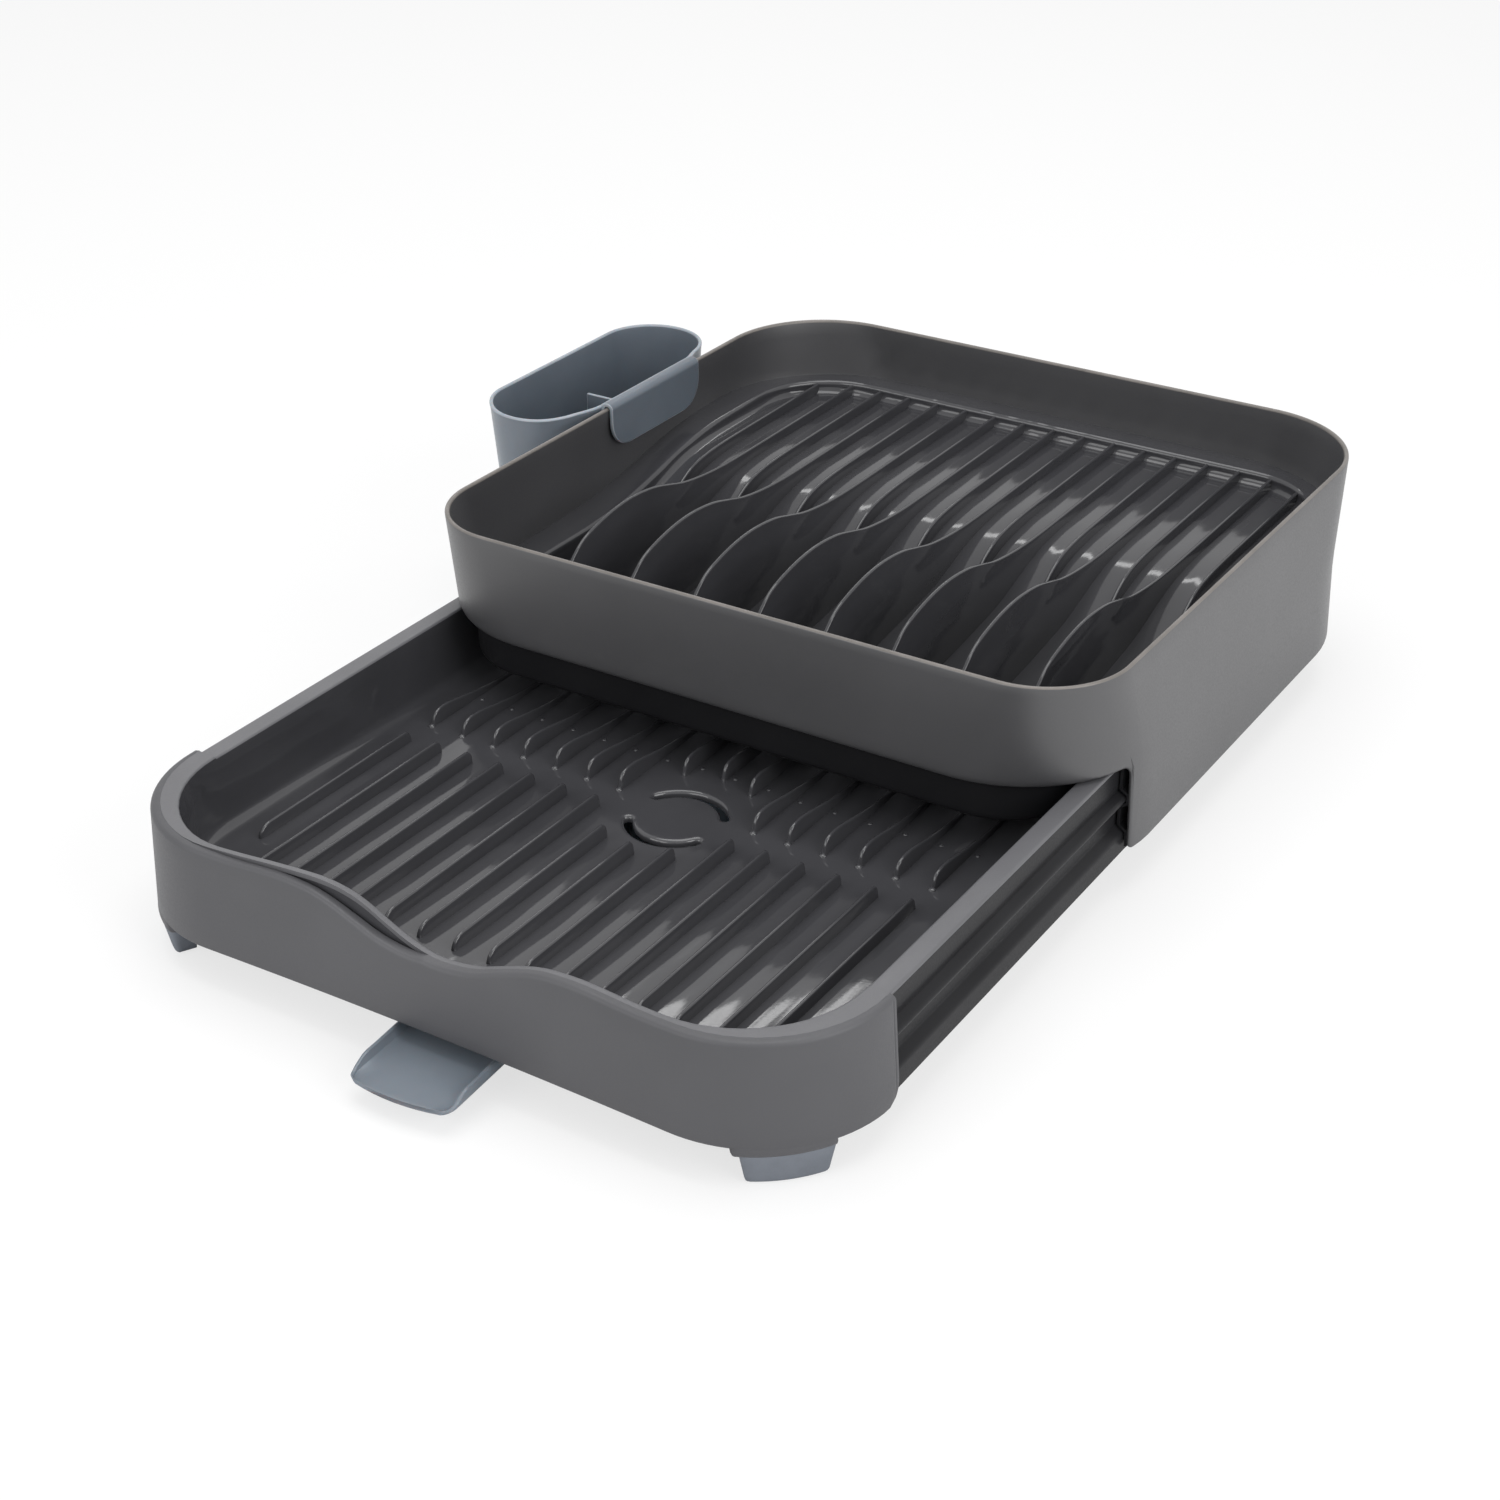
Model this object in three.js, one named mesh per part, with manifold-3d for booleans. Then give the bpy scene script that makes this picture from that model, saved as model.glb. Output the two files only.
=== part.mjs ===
// Expandable dish rack: a bowl with plate fins that stands over a pull-out drain tray.
// Lengths are in millimetres, +Z is up and +Y points to the back. Sizes below are taken from a point
// just in front of the fascia and over the counter; the last lines move the whole rack to its own base.
import * as THREE from "three";
import { mergeVertices } from "three/addons/utils/BufferGeometryUtils.js";
import Module from "manifold-3d";

const wasm = await Module();
wasm.setup();

// Gaps and overruns
const seatGap = 0.3;
const slideGap = 0.7;
const overrun = 4;
const weldTolerance = 0.001;

// Fascia across the front of the tray
const fasciaHalfWidth = 178.6;
const fasciaFront = 5.5;
const fasciaCornerRadius = 63;
const fasciaSideLean = 2.6;
const fasciaFrontLean = 3.5;
const fasciaCornerLean = 4;
const fasciaWall = 3;
const fasciaReach = 71.3;
const fasciaEndHeight = 61;
const fasciaCrestHeight = 66.7;
const fasciaLowEdge = 12.8;
const fasciaArch = 4;
const fasciaHeelRadius = 9;
const shoulderStart = 20;
const shoulderEnd = 28;
const bandThickness = 2.4;

// Drain tray
const trayWall = 2.4;
const trayRimHeight = 60.3;
const trayRimToSide = 3;
const trayRimToFront = 4.1;
const trayFrontRim = 3.2;
const traySideRim = 9.6;
const trayLength = 345;
const trayCornerRadius = 53.7;
const trayRearCornerRadius = 38;
const trayFloor = 24.8;
const trayRearWallHeight = 38;
const trayRibHeight = 5.8;
const trayRibWidth = 1.8;
const trayRibNose = 7;
const trayRibFront = 48;
const trayEdgeRibFront = 72;
const trayRibBreak = 175;
const trayRearRibStart = 190;
const ribPitch = 18;

// Drain and its swivelling spout
const drainY = 183;
const drainSlotInner = 17.5;
const drainSlotOuter = 25.5;
const drainSlotHalfAngle = THREE.MathUtils.degToRad(60);
const drainClearRadius = 33;
const drainRibStop = 30;
const hubRadius = 33;
const spoutHalfWidth = 25;
const spoutTipY = -25;
const spoutLipRadius = 50;
const spoutCornerRadius = 7;
const spoutWall = 2;
const spoutHubFloor = 10;
const spoutTipFloor = 8;
const spoutHubTop = 20;
const spoutTipTop = 12.5;
const spoutSlopeStart = 150;
const spoutOpenMouth = 9;
const spoutTurn = THREE.MathUtils.degToRad(2.5);
const pivotRadius = 4.5;
const pivotHeadRadius = 8;
const pivotHeadThickness = 3;

// Rails outside the tray's side walls
const railWall = 2.2;
const railGrooveDepth = 0.4;
const railShelfHeight = 46.6;
const railTipTop = 44.8;
const railTipBottom = 43;
const railUndercut = 41.6;
const railLowerShelf = 28.6;
const railLowerTip = 26.6;
const railLowEdge = 17.4;
const railRearInset = 6;

// Feet
const footSole = -3.5;
const footInset = 2.5;
const footWidth = 10.5;
const footLipProud = 2.5;
const footLipHeight = 2.5;
const footStemInset = 0.9;
const footStartAngle = THREE.MathUtils.degToRad(-62);
const footEndAngle = THREE.MathUtils.degToRad(-30);
const footLipAngle = THREE.MathUtils.degToRad(1.5);
const rearFootLength = 30;
const rearFootDepth = 16;
const rearFootRadius = 4;
const rearFootFromSide = 77.3;

// Rack: bowl wall, skirt and guides. Its rim stands just inside the fascia's sides, and the wall leans
// outwards on its way down, while its corners get rounder.
const rimInset = 1.3;
const rackHalfWidth = fasciaHalfWidth - rimInset;
const rackFront = 224.5;
const rackBack = 567.5;
const rackFrontRadius = 42.5;
const rackRearRadius = 58;
const rackWall = 2.4;
const rimHeight = 112;
const wallFlare = 4.2;
const wallBackFlare = 3;
const frontCornerGrowth = 24.5;
const rearCornerGrowth = 26;
const skirtFlare = 1.5;
const skirtFront = 271;
const skirtLowEdge = 20;
const postHeight = 60;
const postWall = 2.4;
const guideWall = 1.2;
const guideTop = 60;

// Basin hanging in the bowl
const ledgeRearHeight = 81;
const ledgeFrontHeight = 64.1;
const basinWall = 2.4;
const wellSideGap = 1.1;
const wellFront = 229;
const wellBack = 553;
const wellFrontRadius = 38;
const wellRearRadius = 43;
const wellRearFloor = 74;
const wellFrontFloor = 42.6;
const basinRibTop = 79.5;
const basinRibWidth = 1.9;
const drainSlitWidth = 3;
const drainSlitLength = 16;
const drainSlitY = 247;

// Plate fins
const finCount = 8;
const finThickness = 2;
const finFront = 262;
const finCrest = 93.2;

// Cutlery holder
const cupHalfWidth = 29;
const cupFront = 351;
const cupBack = 505;
const cupRise = 2;
const cupTop = rimHeight + cupRise;
const cupBottom = 22;
const cupTaper = 7;
const cupWall = 2;
const cupToWall = 1.5;
const cupEndRadius = 28.5;
const dividerTop = 97;
const dividerReach = 8;
const dividerWall = 1.8;
const hookFront = 385;
const hookBack = 466;
const hookThickness = 2.2;
const hookToLedge = 8.9;
const hookCornerShare = 0.55;
const cupSlitWidth = 3.2;
const cupSlitLength = 24;
const cupSlitPitch = 12;

const cornerSteps = 9;
const lineSteps = 40;
const railLines = [-1, 1];

const charcoalSatin = { color: 0x56575b, roughness: 0.55, metalness: 0 };
const charcoalGloss = { color: 0x47484c, roughness: 0.22, metalness: 0 };
const blueGrey = { color: 0x7b848e, roughness: 0.4, metalness: 0 };
const footGrey = { color: 0x848b92, roughness: 0.7, metalness: 0 };

// Solids

function solidOf(geometry) {
  const bare = geometry.clone();
  bare.deleteAttribute("normal");
  bare.deleteAttribute("uv");
  const merged = mergeVertices(bare, weldTolerance);
  return new wasm.Manifold(
    new wasm.Mesh({
      numProp: 3,
      vertProperties: merged.attributes.position.array,
      triVerts: new Uint32Array(merged.index.array),
    }),
  );
}

function cut(solid, ...tools) {
  return tools.reduce((left, tool) => left.subtract(tool), solid);
}

function join(first, ...others) {
  return others.reduce((all, other) => all.add(other), first);
}

// A flat outline pushed along an axis. The outline is (y, z) for x, (x, z) for y and (x, y) for z.
function prism(axis, outline, from, to) {
  const shape = outline instanceof THREE.Shape ? outline : new THREE.Shape(outline);
  const geometry = new THREE.ExtrudeGeometry(shape, {
    depth: to - from,
    bevelEnabled: false,
    steps: 1,
    curveSegments: cornerSteps,
  });
  const turns = {
    x: [new THREE.Vector3(0, 1, 0), new THREE.Vector3(0, 0, 1), new THREE.Vector3(1, 0, 0), [from, 0, 0]],
    y: [new THREE.Vector3(1, 0, 0), new THREE.Vector3(0, 0, 1), new THREE.Vector3(0, -1, 0), [0, to, 0]],
    z: [new THREE.Vector3(1, 0, 0), new THREE.Vector3(0, 1, 0), new THREE.Vector3(0, 0, 1), [0, 0, from]],
  };
  const [across, up, along, start] = turns[axis];
  geometry.applyMatrix4(new THREE.Matrix4().makeBasis(across, up, along));
  geometry.translate(...start);
  return solidOf(geometry);
}

function block([x0, x1], [y0, y1], [z0, z1]) {
  const geometry = new THREE.BoxGeometry(x1 - x0, y1 - y0, z1 - z0);
  geometry.translate((x0 + x1) / 2, (y0 + y1) / 2, (z0 + z1) / 2);
  return solidOf(geometry);
}

function disc(radius, [x, y], bottom, top, segments = 4 * cornerSteps) {
  const geometry = new THREE.CylinderGeometry(radius, radius, top - bottom, segments);
  geometry.rotateX(Math.PI / 2);
  geometry.translate(x, y, (bottom + top) / 2);
  return solidOf(geometry);
}

// A rectangle with round corners, seen from above, grown or shrunk by an offset.
function outlineOf(plan, offset = 0) {
  const { half, front, back, frontRadius, rearRadius } = plan;
  const corners = [
    [half - rearRadius, back - rearRadius, 0, rearRadius],
    [rearRadius - half, back - rearRadius, 1, rearRadius],
    [frontRadius - half, front + frontRadius, 2, frontRadius],
    [half - frontRadius, front + frontRadius, 3, frontRadius],
  ];
  return corners.flatMap(([x, y, quarter, radius]) =>
    Array.from({ length: cornerSteps + 1 }, (_, step) => {
      const angle = ((quarter + step / cornerSteps) * Math.PI) / 2;
      const reach = radius + offset;
      return new THREE.Vector2(x + reach * Math.cos(angle), y + reach * Math.sin(angle));
    }),
  );
}

// Triangles between rings of equal length, each ring [outline, height], lowest first.
function ringFaces(count, length, closed) {
  const faces = [];
  const last = closed ? count : count - 1;
  for (let ring = 0; ring < last; ring += 1) {
    const next = (ring + 1) % count;
    for (let step = 0; step < length; step += 1) {
      const turn = (step + 1) % length;
      const [a, b] = [ring * length + step, ring * length + turn];
      const [c, d] = [next * length + turn, next * length + step];
      faces.push(a, b, c, a, c, d);
    }
  }
  return faces;
}

function geometryFrom(rings, faces) {
  const points = rings.flatMap(([outline, height]) => outline.flatMap((p) => [p.x, p.y, height]));
  const geometry = new THREE.BufferGeometry();
  geometry.setAttribute("position", new THREE.Float32BufferAttribute(points, 3));
  geometry.setIndex(faces);
  return geometry;
}

function loft(rings) {
  const length = rings[0][0].length;
  const faces = ringFaces(rings.length, length, false);
  const top = (rings.length - 1) * length;
  for (const [a, b, c] of THREE.ShapeUtils.triangulateShape(rings[0][0], [])) faces.push(c, b, a);
  for (const [a, b, c] of THREE.ShapeUtils.triangulateShape(rings.at(-1)[0], [])) {
    faces.push(top + a, top + b, top + c);
  }
  return solidOf(geometryFrom(rings, faces));
}

function column(plan, offset, bottom, top) {
  return loft([
    [outlineOf(plan, offset), bottom],
    [outlineOf(plan, offset), top],
  ]);
}

// A smooth line through points, as more points.
function smooth(points, steps = lineSteps) {
  return new THREE.SplineCurve(points.map(([u, v]) => new THREE.Vector2(u, v))).getPoints(steps);
}

// Everything over or under a line that runs from low to high first coordinate.
function above(line, ceiling) {
  const [first, last] = [line[0], line.at(-1)];
  return [...line, new THREE.Vector2(last.x, ceiling), new THREE.Vector2(first.x, ceiling)];
}

function below(line, floor) {
  const [first, last] = [line[0], line.at(-1)];
  return [new THREE.Vector2(first.x, floor), new THREE.Vector2(last.x, floor), ...[...line].reverse()];
}

// An outline part of the way from one plan to another.
function between(first, last, share, offset = 0) {
  const goal = outlineOf(last, offset);
  return outlineOf(first, offset).map((p, step) => p.clone().lerp(goal[step], share));
}

const rack = new THREE.Group();

function addPiece(name, solid, finish) {
  const { vertProperties, triVerts } = solid.getMesh();
  const geometry = new THREE.BufferGeometry();
  geometry.setAttribute("position", new THREE.BufferAttribute(vertProperties, 3));
  geometry.setIndex(new THREE.BufferAttribute(triVerts, 1));
  geometry.computeVertexNormals();
  const piece = new THREE.Mesh(geometry, new THREE.MeshStandardMaterial(finish));
  piece.name = name;
  rack.add(piece);
}

// Plans

const fasciaPlan = {
  half: fasciaHalfWidth,
  front: fasciaFront,
  back: trayLength,
  frontRadius: fasciaCornerRadius,
  rearRadius: trayRearCornerRadius,
};
const fasciaTopPlan = {
  ...fasciaPlan,
  half: fasciaHalfWidth - fasciaSideLean,
  front: fasciaFront + fasciaFrontLean,
  frontRadius: fasciaCornerRadius - fasciaCornerLean,
};
const trayRimPlan = {
  half: fasciaTopPlan.half - trayRimToSide,
  front: fasciaTopPlan.front + trayRimToFront,
  back: trayLength,
  frontRadius: trayCornerRadius + trayFrontRim,
  rearRadius: trayRearCornerRadius,
};
const trayCavityPlan = {
  half: trayRimPlan.half - traySideRim,
  front: trayRimPlan.front + trayFrontRim,
  back: trayLength - trayWall,
  frontRadius: trayCornerRadius,
  rearRadius: trayRearCornerRadius - trayWall,
};
const rackPlan = {
  half: rackHalfWidth,
  front: rackFront,
  back: rackBack,
  frontRadius: rackFrontRadius,
  rearRadius: rackRearRadius,
};
const footPlan = {
  half: rackHalfWidth + wallFlare,
  front: rackFront - wallFlare,
  back: rackBack + wallBackFlare,
  frontRadius: rackFrontRadius + frontCornerGrowth,
  rearRadius: rackRearRadius + rearCornerGrowth,
};
const wellPlan = {
  half: trayCavityPlan.half - basinWall - wellSideGap,
  front: wellFront,
  back: wellBack,
  frontRadius: wellFrontRadius,
  rearRadius: wellRearRadius,
};

// Faces that follow from the plans: the wall's foot, the skirt's inner side, the guides and the rails.
const wallFoot = ledgeFrontHeight - basinWall;
const skirtRearFace = footPlan.back - rackWall;
const rearFootX = rackHalfWidth - rearFootFromSide;
const guideOuter = footPlan.half - rackWall - seatGap;
const guideInner = guideOuter - guideWall;
const railTip = guideInner - slideGap;
const railRim = trayRimPlan.half;
const railGroove = railRim - railGrooveDepth;
const trayRearCut = trayLength - trayRimPlan.rearRadius;

// The outside of the rack at a height: it leans out from the rim to the foot, and a little more below.
function wallAt(height, offset = 0) {
  if (height > wallFoot) {
    return between(rackPlan, footPlan, (rimHeight - height) / (rimHeight - wallFoot), offset);
  }
  const spread = (skirtFlare * (wallFoot - height)) / (wallFoot - skirtLowEdge);
  return outlineOf(footPlan, offset + spread);
}

function underWall(bottom, top, offset) {
  return loft([bottom, top].map((height) => [wallAt(height, offset), height]));
}

// The fascia's wavy top edge: shares of its half width, and of the rise from its ends to its crest.
const waveShares = [
  [-1.03, 0],
  [-0.8, 0],
  [-0.69, 0.05],
  [-0.57, 0.3],
  [-0.46, 0.65],
  [-0.36, 0.92],
  [-0.295, 1],
  [-0.235, 0.82],
  [-0.18, 0.33],
  [-0.12, -0.6],
  [-0.069, -1.35],
  [-0.02, -1.85],
  [0.024, -2.07],
  [0.08, -1.97],
  [0.136, -1.61],
  [0.19, -0.98],
  [0.249, -0.3],
  [0.29, 0.08],
  [0.331, 0.3],
  [0.4, 0.4],
  [0.463, 0.3],
  [0.55, 0.08],
  [0.64, 0],
  [0.8, 0],
  [1.03, 0],
];
const waveRise = fasciaCrestHeight - fasciaEndHeight;
const waveLine = smooth(
  waveShares.map(([across, up]) => [across * fasciaHalfWidth, fasciaEndHeight + up * waveRise]),
  2 * lineSteps,
);
const archLine = Array.from({ length: lineSteps / 2 + 1 }, (_, step) => {
  const share = (2 * step) / (lineSteps / 2) - 1;
  const lift = fasciaArch * (1 - Math.min(1, share * share));
  return new THREE.Vector2(share * (fasciaHalfWidth + overrun), fasciaLowEdge + lift);
});

const skyHeight = rimHeight + overrun;

function lowered(line, drop) {
  return line.map((p) => new THREE.Vector2(p.x, p.y - drop));
}

// The top edge falls to its ends as it rounds the corners, so that the bowl's wall passes over it.
const shoulderLine = [
  new THREE.Vector2(-overrun, skyHeight),
  new THREE.Vector2(shoulderStart, fasciaCrestHeight),
  new THREE.Vector2(shoulderEnd, fasciaEndHeight),
  new THREE.Vector2(trayLength + overrun, fasciaEndHeight),
];

// Everything under the wave and the shoulders, as far back as the fascia's ends.
function underTop(drop) {
  const wide = fasciaHalfWidth + overrun;
  const wave = prism("y", below(lowered(waveLine, drop), 0), -overrun, fasciaReach);
  return wave.intersect(prism("x", below(lowered(shoulderLine, drop), 0), -wide, wide));
}

// The fascia's outside leans in a little on its way up.
function fasciaColumn(offset, over) {
  const slope = 1 / (fasciaEndHeight - fasciaLowEdge);
  const rings = [-over, skyHeight + over].map((height) => {
    const share = (height - fasciaLowEdge) * slope;
    return [between(fasciaPlan, fasciaTopPlan, share, offset), height];
  });
  return loft(rings);
}

// The fascia: an outer skin and a band that reaches in to the tray's rim.
function makeFascia() {
  const overArch = prism("y", above(archLine, skyHeight), -overrun, fasciaReach);
  const full = fasciaColumn(0, 0);
  const skin = cut(full, fasciaColumn(-fasciaWall, overrun));
  const band = cut(full, underTop(bandThickness));
  const rimOutline = column(trayRimPlan, seatGap, -2 * overrun, skyHeight + 2 * overrun);
  const body = cut(join(skin, band), rimOutline).intersect(underTop(0)).intersect(overArch);
  const heel = new THREE.Shape();
  heel.moveTo(fasciaReach + overrun, fasciaLowEdge - overrun);
  heel.lineTo(fasciaReach + overrun, fasciaLowEdge + fasciaHeelRadius);
  heel.lineTo(fasciaReach, fasciaLowEdge + fasciaHeelRadius);
  heel.absarc(
    fasciaReach - fasciaHeelRadius,
    fasciaLowEdge + fasciaHeelRadius,
    fasciaHeelRadius,
    0,
    -Math.PI / 2,
    true,
  );
  heel.lineTo(fasciaReach - fasciaHeelRadius, fasciaLowEdge - overrun);
  const heels = prism("x", heel, -fasciaHalfWidth - overrun, fasciaHalfWidth + overrun);
  addPiece("front_fascia", cut(body, heels), charcoalSatin);
}

// One rib of the tray: square or rounded at each end, standing on the floor.
function trayRib(x, from, to, roundFront, roundRear) {
  const base = trayFloor - trayWall / 2;
  const top = trayFloor + trayRibHeight;
  const outline = new THREE.Shape();
  outline.moveTo(from, base);
  outline.lineTo(to, base);
  if (roundRear) {
    outline.lineTo(to, trayFloor);
    outline.quadraticCurveTo(to - trayRibNose / 4, top, to - trayRibNose, top);
  } else {
    outline.lineTo(to, top);
  }
  if (roundFront) {
    outline.lineTo(from + trayRibNose, top);
    outline.quadraticCurveTo(from + trayRibNose / 4, top, from, trayFloor);
  } else {
    outline.lineTo(from, top);
  }
  outline.lineTo(from, base);
  return prism("x", outline, x - trayRibWidth / 2, x + trayRibWidth / 2);
}

// Where the drain keeps a rib at this x clear, as a distance along Y from the drain's centre.
function drainKeepOff(x, radius) {
  return Math.sqrt(Math.max(0, radius ** 2 - x ** 2));
}

const ribsPerSide = Math.floor((trayCavityPlan.half - ribPitch / 2) / ribPitch);
const ribLines = Array.from({ length: 2 * ribsPerSide + 1 }, (_, line) => (line - ribsPerSide) * ribPitch);
// In the well the plate fins take every second line, so its low ribs keep to the others.
const lowRibLines = ribLines.filter((x, line) => (line - ribsPerSide) % 2 === 0);

function drainSlot(side) {
  const slot = new THREE.Shape();
  const middle = (side * Math.PI) / 2;
  const [start, end] = [middle - drainSlotHalfAngle, middle + drainSlotHalfAngle];
  slot.absarc(0, drainY, drainSlotOuter, start, end, false);
  slot.absarc(0, drainY, drainSlotInner, end, start, true);
  return prism("z", slot, trayFloor - trayWall - overrun, trayFloor + overrun);
}

// The tray: a floor with ribs and drain slots, and the wall with its rim standing on that floor's edge.
function makeTray() {
  const underRim = block(
    [-fasciaHalfWidth, fasciaHalfWidth],
    [fasciaReach - weldTolerance, trayLength + overrun],
    [0, trayRimHeight],
  );
  const allowed = join(underTop(0), underRim);
  const cavity = column(trayCavityPlan, 0, trayFloor, skyHeight);
  const rimPlate = cut(
    column(trayRimPlan, 0, 0, skyHeight).intersect(allowed),
    column(trayRimPlan, overrun, -overrun, skyHeight).intersect(allowed.translate([0, 0, -bandThickness])),
  );
  const ring = column(trayCavityPlan, trayWall, trayFloor + seatGap, skyHeight).intersect(allowed);
  const rearCut = block(
    [-fasciaHalfWidth, fasciaHalfWidth],
    [trayRearCut, trayLength + overrun],
    [trayRearWallHeight, skyHeight],
  );
  addPiece("tray_wall", cut(join(ring, rimPlate), cavity, rearCut), charcoalGloss);

  const ribs = [];
  for (const x of ribLines) {
    const atEdge = Math.abs(x) > (ribsPerSide - 1 / 2) * ribPitch;
    const keepOff = drainKeepOff(x, drainClearRadius);
    const frontEnd = Math.min(trayRibBreak, drainY - (keepOff > 0 ? Math.max(keepOff, drainRibStop) : 0));
    ribs.push(trayRib(x, atEdge ? trayEdgeRibFront : trayRibFront, frontEnd, true, false));
    const rearStart = Math.max(trayRearRibStart, drainY + keepOff);
    ribs.push(trayRib(x, rearStart, trayCavityPlan.back, true, false));
  }
  const room = column(trayCavityPlan, -seatGap, trayFloor - trayWall, skyHeight);
  const floor = column(trayCavityPlan, trayWall, trayFloor - trayWall, trayFloor);
  const ribbed = join(floor, join(...ribs).intersect(room));
  addPiece("drain_tray", cut(ribbed, drainSlot(1), drainSlot(-1)), charcoalGloss);
}

// The tray's outer side: a rim wall, two shelves and two grooves, as one folded strip.
function makeRails() {
  const inner = (x) => x - railWall;
  const profile = [
    [railRim, trayRimHeight - bandThickness - seatGap],
    [railGroove, railShelfHeight],
    [railTip, railTipTop],
    [railTip, railTipBottom],
    [railGroove, railUndercut],
    [railGroove, railLowerShelf],
    [railTip, railLowerTip],
    [railTip, railLowEdge],
  ];
  const back = [
    [inner(railTip), railLowEdge],
    [inner(railTip), railLowerTip - railWall / 2],
    [inner(railGroove), railLowerShelf - railWall / 2],
    [inner(railGroove), trayRimHeight - bandThickness - seatGap],
  ];
  for (const side of railLines) {
    const outline = [...profile, ...back].map(([x, z]) => new THREE.Vector2(side * x, z));
    const rail = prism("y", outline, fasciaReach + slideGap, trayRearCut - railRearInset);
    addPiece(side < 0 ? "tray_rail_left" : "tray_rail_right", rail, charcoalSatin);
  }
}

// Feet under the fascia's corners, curved to follow them.
function sector(inner, outer, start, end) {
  const shape = new THREE.Shape();
  shape.absarc(0, 0, outer, start, end, false);
  shape.absarc(0, 0, inner, end, start, true);
  return shape;
}

function makeFrontFeet() {
  const outer = fasciaPlan.frontRadius - footInset;
  const inner = outer - footWidth;
  const stemTop = trayFloor - trayWall - seatGap;
  const stemOuter = trayCavityPlan.frontRadius + footStemInset;
  const centre = [fasciaPlan.half - fasciaPlan.frontRadius, fasciaPlan.front + fasciaPlan.frontRadius];
  const top = fasciaLowEdge - seatGap;
  const pad = prism("z", sector(inner, outer, footStartAngle, footEndAngle), footSole, top);
  const lipArc = sector(
    inner,
    outer + footLipProud,
    footStartAngle - footLipAngle,
    footEndAngle + footLipAngle,
  );
  const lip = prism("z", lipArc, top - footLipHeight, top);
  const stemArc = sector(inner, stemOuter, footStartAngle, footEndAngle);
  const stem = prism("z", stemArc, top - footLipHeight, stemTop);
  const right = join(pad, lip, stem).translate([...centre, 0]);
  addPiece("foot_front_right", right, footGrey);
  addPiece("foot_front_left", right.mirror([1, 0, 0]), footGrey);
}

// The spout: a round bowl under the drain with an open chute to the front.
function spoutOutline(inset) {
  const half = spoutHalfWidth - inset;
  const tip = spoutTipY;
  const shoulder = tip + spoutLipRadius - Math.sqrt(spoutLipRadius ** 2 - half ** 2);
  const shape = new THREE.Shape();
  shape.moveTo(half, drainY);
  shape.lineTo(-half, drainY);
  shape.lineTo(-half, shoulder + spoutCornerRadius);
  const corner = half - spoutCornerRadius;
  const lip = shoulder - spoutCornerRadius / 2;
  shape.quadraticCurveTo(-half, shoulder, -corner, lip);
  shape.quadraticCurveTo(0, 2 * tip - lip, corner, lip);
  shape.quadraticCurveTo(half, shoulder, half, shoulder + spoutCornerRadius);
  return shape;
}

function makeSpout() {
  const floorLine = [
    new THREE.Vector2(spoutTipY - overrun, spoutTipFloor),
    new THREE.Vector2(spoutSlopeStart, spoutHubFloor),
    new THREE.Vector2(drainY + hubRadius + overrun, spoutHubFloor),
  ];
  const topLine = [
    new THREE.Vector2(spoutTipY - overrun, spoutTipTop),
    new THREE.Vector2(0, spoutTipTop),
    new THREE.Vector2(spoutSlopeStart, spoutHubTop),
    new THREE.Vector2(drainY + hubRadius + overrun, spoutHubTop),
  ];
  const wide = hubRadius + overrun;
  const mouth = spoutHalfWidth - spoutWall;
  const outer = join(disc(hubRadius, [0, drainY], 0, skyHeight), prism("z", spoutOutline(0), 0, skyHeight));
  const inside = join(
    disc(hubRadius - spoutWall, [0, drainY], 0, skyHeight + overrun),
    prism("z", spoutOutline(spoutWall), 0, skyHeight + overrun),
    block([-mouth, mouth], [spoutTipY - overrun, spoutTipY + spoutOpenMouth], [0, skyHeight]),
  );
  const shell = prism("x", below(topLine, 0), -wide, wide);
  const underFloor = prism("x", below(lowered(floorLine, spoutWall), -overrun), -wide, wide);
  const overFloor = prism("x", above(floorLine, skyHeight + overrun), -wide, wide);
  const bore = disc(pivotRadius + slideGap / 2, [0, drainY], 0, skyHeight);
  const spout = cut(outer.intersect(shell), underFloor, inside.intersect(overFloor), bore);
  const turned = new THREE.Matrix4()
    .makeTranslation(0, drainY, 0)
    .multiply(new THREE.Matrix4().makeRotationZ(spoutTurn))
    .multiply(new THREE.Matrix4().makeTranslation(0, -drainY, 0));
  addPiece("spout", spout.transform(turned.elements), blueGrey);

  const pinTop = trayFloor - trayWall - seatGap;
  const headTop = spoutHubFloor - spoutWall - seatGap;
  const pin = disc(pivotRadius, [0, drainY], headTop - pivotHeadThickness, pinTop);
  const head = disc(pivotHeadRadius, [0, drainY], headTop - pivotHeadThickness, headTop);
  addPiece("spout_pivot", join(pin, head), charcoalSatin);
}

function makeBowl() {
  const wall = cut(
    underWall(wallFoot, rimHeight, 0),
    loft([
      [wallAt(wallFoot, -rackWall), wallFoot - weldTolerance],
      [wallAt(rimHeight, -rackWall), rimHeight + weldTolerance],
    ]),
  );
  addPiece("rack_shell", wall, charcoalSatin);
}

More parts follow.
